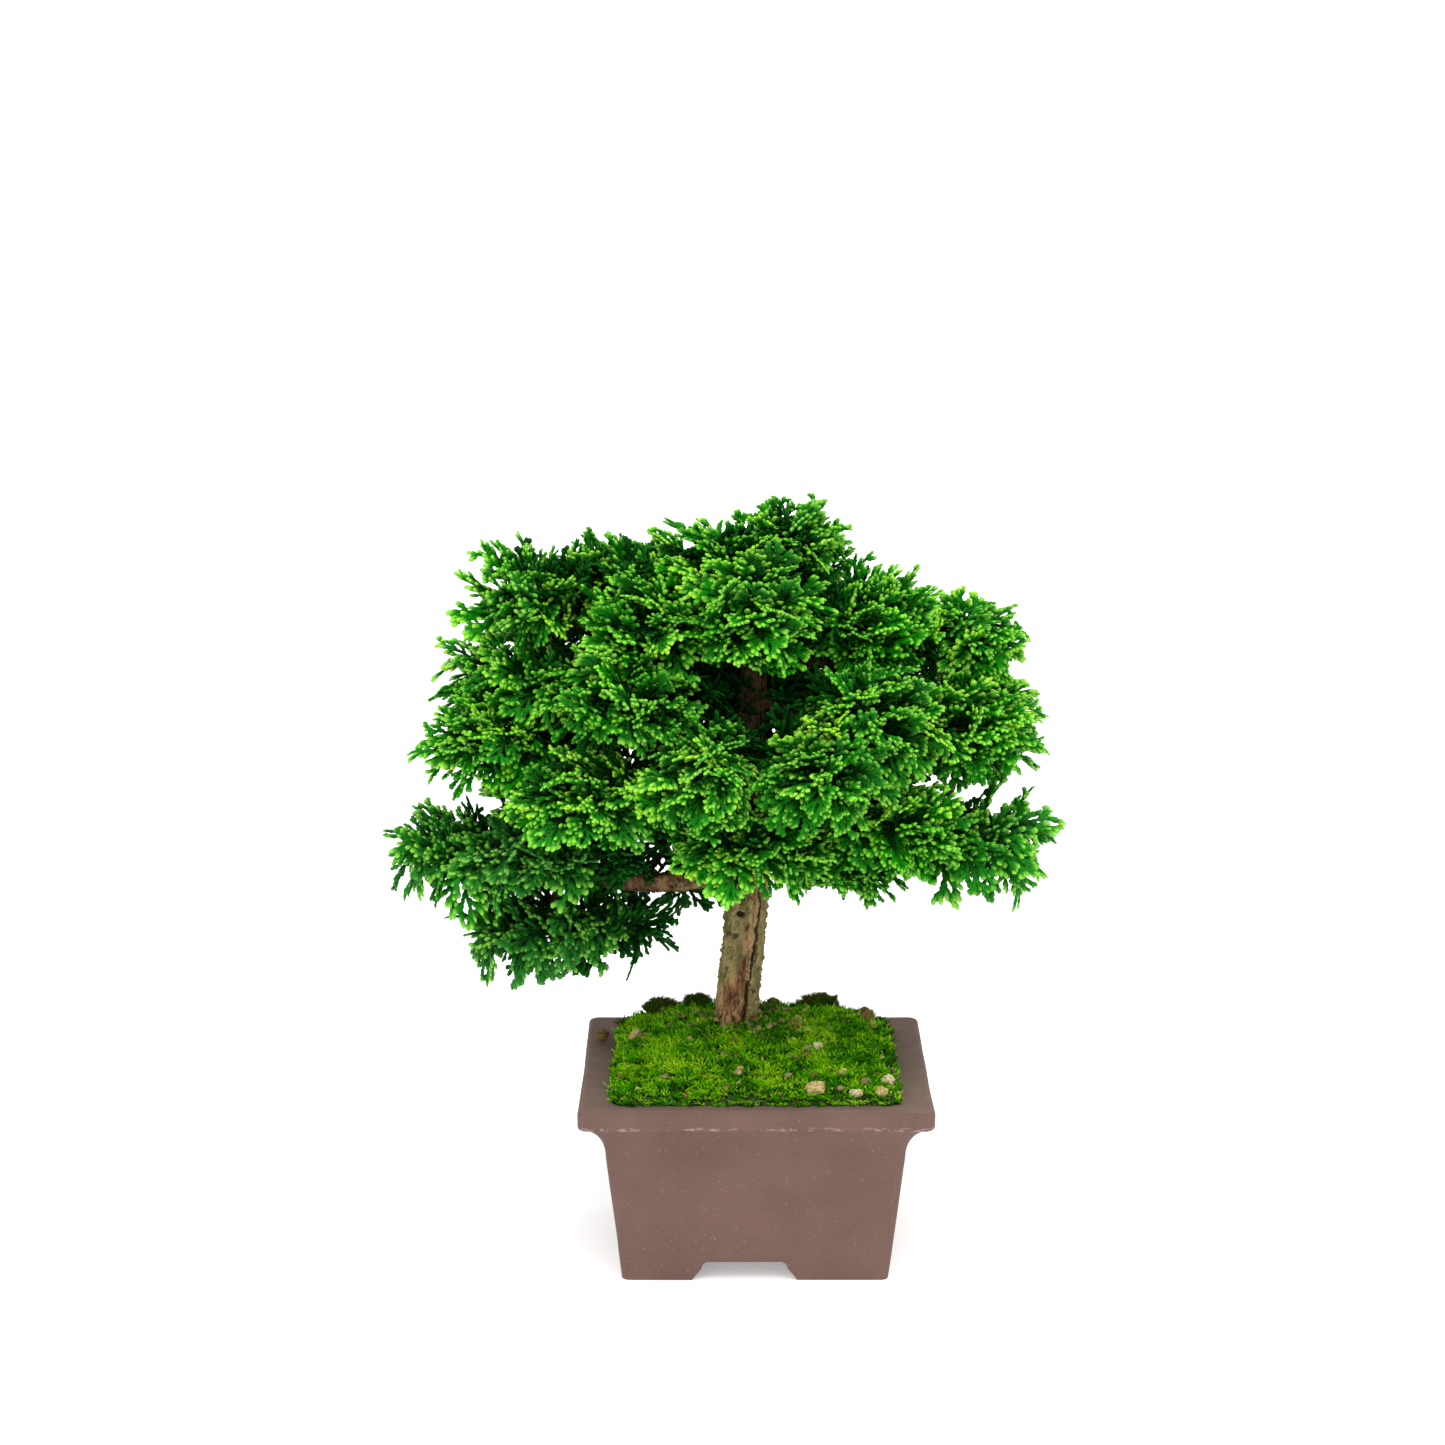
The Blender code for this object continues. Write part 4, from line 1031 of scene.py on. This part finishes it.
def grow_shoots(rng, length, pitch):
    """The lines and widths of a fan: a middle shoot, side shoots in turn left and right, and their twigs."""
    main = shoot_line(np.zeros(3), 0.0, length, rng.uniform(-0.3, 0.3), 0.0, pitch)
    grown = [(main, 0.92)]
    place = 2.6 * MM
    side = 1
    while place < length - 2.2 * MM:
        share = place / length
        at = min(int(np.searchsorted(main[2], share)), len(main[2]) - 1)
        heading = main[1][at] + side * rng.uniform(0.62, 0.95) * (1 - 0.2 * share)
        reach = (0.58 * (length - place) + 4.0 * MM) * rng.uniform(0.8, 1.15) * min(1.0, 0.6 + 2.2 * share)
        lift = rng.uniform(-0.15, 0.35)
        branch = shoot_line(main[0][at], heading, reach, -side * rng.uniform(0.2, 0.6), lift, pitch)
        grown.append((branch, 1.0))
        twig_place = rng.uniform(2.8, 3.6) * MM
        twig_side = side
        while twig_place < reach - 1.9 * MM:
            at = min(int(np.searchsorted(branch[2], twig_place / reach)), len(branch[2]) - 1)
            heading = branch[1][at] + twig_side * rng.uniform(0.6, 0.95)
            size = min(0.42 * (reach - twig_place) + 2.6 * MM, 5.6 * MM) * rng.uniform(0.8, 1.15)
            rise = lift + rng.uniform(-0.2, 0.5)
            twig = shoot_line(branch[0][at], heading, size, -twig_side * rng.uniform(0.1, 0.5), rise, pitch)
            grown.append((twig, 0.98))
            twig_place += rng.uniform(2.4, 3.2) * MM
            twig_side = -twig_side
        place += rng.uniform(2.3, 3.1) * MM
        side = -side
    return grown


def make_fan(rng, length, sides, pitch):
    parts = []
    total = 0
    for line, share in grow_shoots(rng, length, pitch):
        points, faces, tones = scale_shoot(line, SHOOT_WIDTH * share * rng.uniform(0.88, 1.12), sides)
        parts.append((points, faces + total, tones))
        total += len(points)
    return [np.vstack(part) for part in zip(*parts)]


def set_fan(rng, fan, growth, face, size, tip):
    """A fan's points, faces and tones: curled down like a shell, turned, and with its tip at a place."""
    points, faces, tones = fan
    bent = points * size
    bent[:, 2] -= rng.uniform(6, 20) * bent[:, 0] ** 2 + rng.uniform(10, 32) * bent[:, 1] ** 2
    if rng.uniform() < 0.5:
        bent = bent * np.array([1, -1, 1])
        faces = faces[:, ::-1]
    face = (face - growth * face.dot(growth)).normalized()
    face = Matrix.Rotation(rng.normal(0, 0.4), 3, growth) @ face
    across = face.cross(growth)
    base = tip - growth * FAN_LENGTH * size * 0.95
    return bent @ np.array([growth, across, face]) + np.array(base), faces, tones.copy()


def set_dark_fan(rng, fan, growth, tip, tone):
    """An older spray from inside the crown, painted dark and dull as shade."""
    points, faces, tones = set_fan(rng, fan, growth, random_unit(rng), 1.0, tip)
    # Painted shade: the age is cut to 0.4 so the spray turns dark, and the tone is shifted toward the duller
    # colour.
    return points, faces, tones * (1, 0.4) + (tone, 0)


def join_fans(name, made, material):
    offsets = np.cumsum([0] + [len(points) for points, _, _ in made[:-1]])
    points = np.vstack([points for points, _, _ in made])
    faces = np.vstack([faces + offset for (_, faces, _), offset in zip(made, offsets)])
    tones = np.vstack([tones for _, _, tones in made])
    return mesh_from_arrays(name, points, faces, tones, material)


def make_pad(name, fans, inner_fans, rng, material, trunk_line):
    """The sprays of one pad: a spiral of them over its skin, and older ones inside, painted dark as shade."""
    middle, half = node_middle(name)
    area = 4 * math.pi * (half.x * half.y * half.z) ** (2 / 3)
    count = int(area / FAN_SPREAD * 1 * (0.8 if name.startswith(HANGING) else 1))
    phase = rng.uniform(0, 2 * math.pi)
    height = (middle.z - TRUNK_BASE.z) / CROWN.z
    hanging = name.startswith(HANGING)
    rise = -0.35 if hanging else 0.45 if height > 0.74 else -0.08
    shaded = 0.30 if name in ("foliage_left_low", "foliage_left_hanging") else 0.1 * hanging
    # Painted shade: lower pads, hanging pads and the two shaded left pads get a duller, bluer tone, on top of
    # a random tone for each pad.
    pad_tone_and_shade = 0.22 - 0.22 * height + shaded + rng.uniform(-0.08, 0.08)
    made = []
    for i in range(count):
        up = 1 - (i + 0.5) / count * 1.72
        angle = phase + i * GOLDEN_ANGLE
        flat = math.sqrt(1 - up * up)
        unit = Vector((flat * math.cos(angle), flat * math.sin(angle), up))
        skin = middle + Vector([a * b for a, b in zip(unit, half)])
        normal = Vector([a / b for a, b in zip(unit, half)]).normalized()
        axis = trunk_line(skin.z)
        outward = Vector((skin.x - axis.x, skin.y - axis.y, 0)).normalized()
        lift = rise + (0.6 * max(0.0, up) if hanging else 0.0)
        growth = normal + outward * rng.uniform(0.15, 0.6) + Vector((0, 0, lift)) + random_unit(rng) * 0.35
        growth.normalize()
        face = Vector((0, 0, 1)) + random_unit(rng) * 0.4 - outward * max(0.0, growth.z) * 0.6
        reach = FAN_REACH * rng.uniform(-1.1, 1.2) * (0.6 if up < -0.4 and not hanging else 1.0)
        size = rng.uniform(0.82, 1.12) * (1.12 if hanging else 1)
        fan = fans[rng.integers(len(fans))]
        turned, faces, tones = set_fan(rng, fan, growth, face, size, skin + normal * reach)
        tones[:, 0] += pad_tone_and_shade + rng.uniform(-0.1, 0.22)
        # Painted shade: fans on the shaded pads and on a pad's underside get fewer lime tips.
        tones[:, 1] *= rng.uniform(0.84, 1.0) * (0.96 if shaded or up < -0.3 else 1.0)
        made.append((turned, faces, tones))
    for i in range(count // 2):
        growth = random_unit(rng)
        inward = (trunk_line(middle.z) - middle) * rng.uniform(0, 0.5)
        tip = middle + inward + Vector([a * b for a, b in zip(growth, half)]) * 0.85
        made.append(set_dark_fan(rng, inner_fans[i % len(inner_fans)], growth, tip, 0.3))
    place_piece(join_fans(name + "_fans", made, material), "foliage", name)


def make_inner_fans(fans, rng, leaf):
    """Older sprays behind the limbs and the upper trunk, painted dark as shade, which fill the middle of the
    crown.
    """
    made = []
    for name, (route, _) in limbs.items():
        start = 0.45 if name == "trunk" else 0.25
        for point in route[int(len(route) * start) :: 9]:
            for side in (1, 1, -0.4):
                growth = random_unit(rng)
                growth.y = abs(growth.y) * side
                tip = point + growth * rng.uniform(20, 34) * MM
                made.append(set_dark_fan(rng, fans[rng.integers(len(fans))], growth, tip, 0.35))
    place_piece(join_fans("foliage_inner_fans", made, leaf), "foliage")


def make_foliage_material():
    """Colour over tone and age: dark inside as painted shade, grass green, and lime at the tips; dull
    underneath.
    """
    leaf, place = new_material("foliage", Specular_IOR_Level=0.04)
    spot = place.node("UVMap", {"uv_map": "OFBake"}, {})
    tone = spot.part("X")
    age = spot.part("Y")
    # The dark colour toward each spray's base is partly the deeper green of older leaves and partly painted
    # shade of the crown's inside.
    old_and_shaded = tone.mix(rgb(0.0025, 0.035, 0.0008), rgb(0.004, 0.034, 0.008))
    young = tone.mix(rgb(0.006, 0.205, 0.001), rgb(0.030, 0.155, 0.030))
    lime = tone.mix(rgb(0.235, 0.70, 0.040), rgb(0.17, 0.42, 0.080))
    tip = tone.mix(rgb(0.50, 0.82, 0.020), rgb(0.26, 0.52, 0.085))
    colour = age.rise(0.08, 0.74).mix(old_and_shaded, young)
    colour = age.rise(0.74, 0.93).mix(colour, lime)
    colour = age.rise(0.92, 1.0).mix(colour, tip)
    wear(leaf, colour, 0.5)
    return leaf


def make_foliage(leaf):
    rng = np.random.default_rng(11)
    fans = [make_fan(rng, FAN_LENGTH * rng.uniform(0.9, 1.1), 5, SCALE_PITCH) for _ in range(FAN_KINDS)]
    inner_fans = [make_fan(rng, FAN_LENGTH * 0.9, 4, 2 * SCALE_PITCH) for _ in range(INNER_KINDS)]
    route = limbs["trunk"][0]

    def trunk_line(height):
        return min(route, key=lambda point: abs(point.z - height))

    for name in sorted(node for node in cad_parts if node.startswith("foliage_")):
        make_pad(name, fans, inner_fans, rng, leaf, trunk_line)
    make_inner_fans(inner_fans, rng, leaf)


make_foliage(make_foliage_material())

# ---------------------------------------------------------------- floor, light and camera
# A plain white sweep under soft overhead light, seen a little from above at eye distance.

FLOOR_SIZE = 30
CAMERA_SHIFT = Vector((-14.1 * MM, -1231.7 * MM, 545.7 * MM))
CAMERA_TILT = math.radians(75.9)  # up from straight down
CAMERA_LENS = 74.6


def make_stage():
    white, place = new_material("white_floor", Emission_Strength=0.3)
    paper = place.noise(6, 3)
    wear(white, paper.mix(rgb(0.885, 0.885, 0.885), rgb(0.90, 0.90, 0.90)), 0.9)
    shape = bmesh.new()
    bmesh.ops.create_grid(shape, x_segments=1, y_segments=1, size=FLOOR_SIZE)
    floor = from_bmesh("floor", shape, white)
    if floor.data.polygons[0].normal.z < 0:
        floor.data.flip_normals()


def add_sun(name, tilt, turn, strength, angle):
    light = bpy.data.lights.new(name, "SUN")
    light.energy = strength
    light.angle = math.radians(angle)
    lamp = bpy.data.objects.new(name, light)
    lamp.rotation_euler = (math.radians(tilt), 0, math.radians(turn))
    bpy.context.scene.collection.objects.link(lamp)


def make_light():
    world = bpy.data.worlds.new("studio")
    world.use_nodes = True
    world.node_tree.nodes["Background"].inputs["Color"].default_value = rgb(1, 1, 1)
    world.node_tree.nodes["Background"].inputs["Strength"].default_value = 1.0
    bpy.context.scene.world = world
    bpy.context.scene.view_settings.view_transform = "Standard"
    add_sun("overhead", 20, 25, 1.5, 50)
    add_sun("front_left", 52, -30, 0.5, 50)


def make_camera():
    camera = bpy.data.cameras.new("camera")
    camera.lens = CAMERA_LENS
    camera.sensor_width = 36
    camera.clip_end = 100
    seen_from = bpy.data.objects.new("camera", camera)
    seen_from.location = POT_MIDDLE + CAMERA_SHIFT
    seen_from.rotation_euler = (CAMERA_TILT, 0, 0)
    bpy.context.scene.collection.objects.link(seen_from)
    bpy.context.scene.camera = seen_from


make_stage()
make_light()
make_camera()
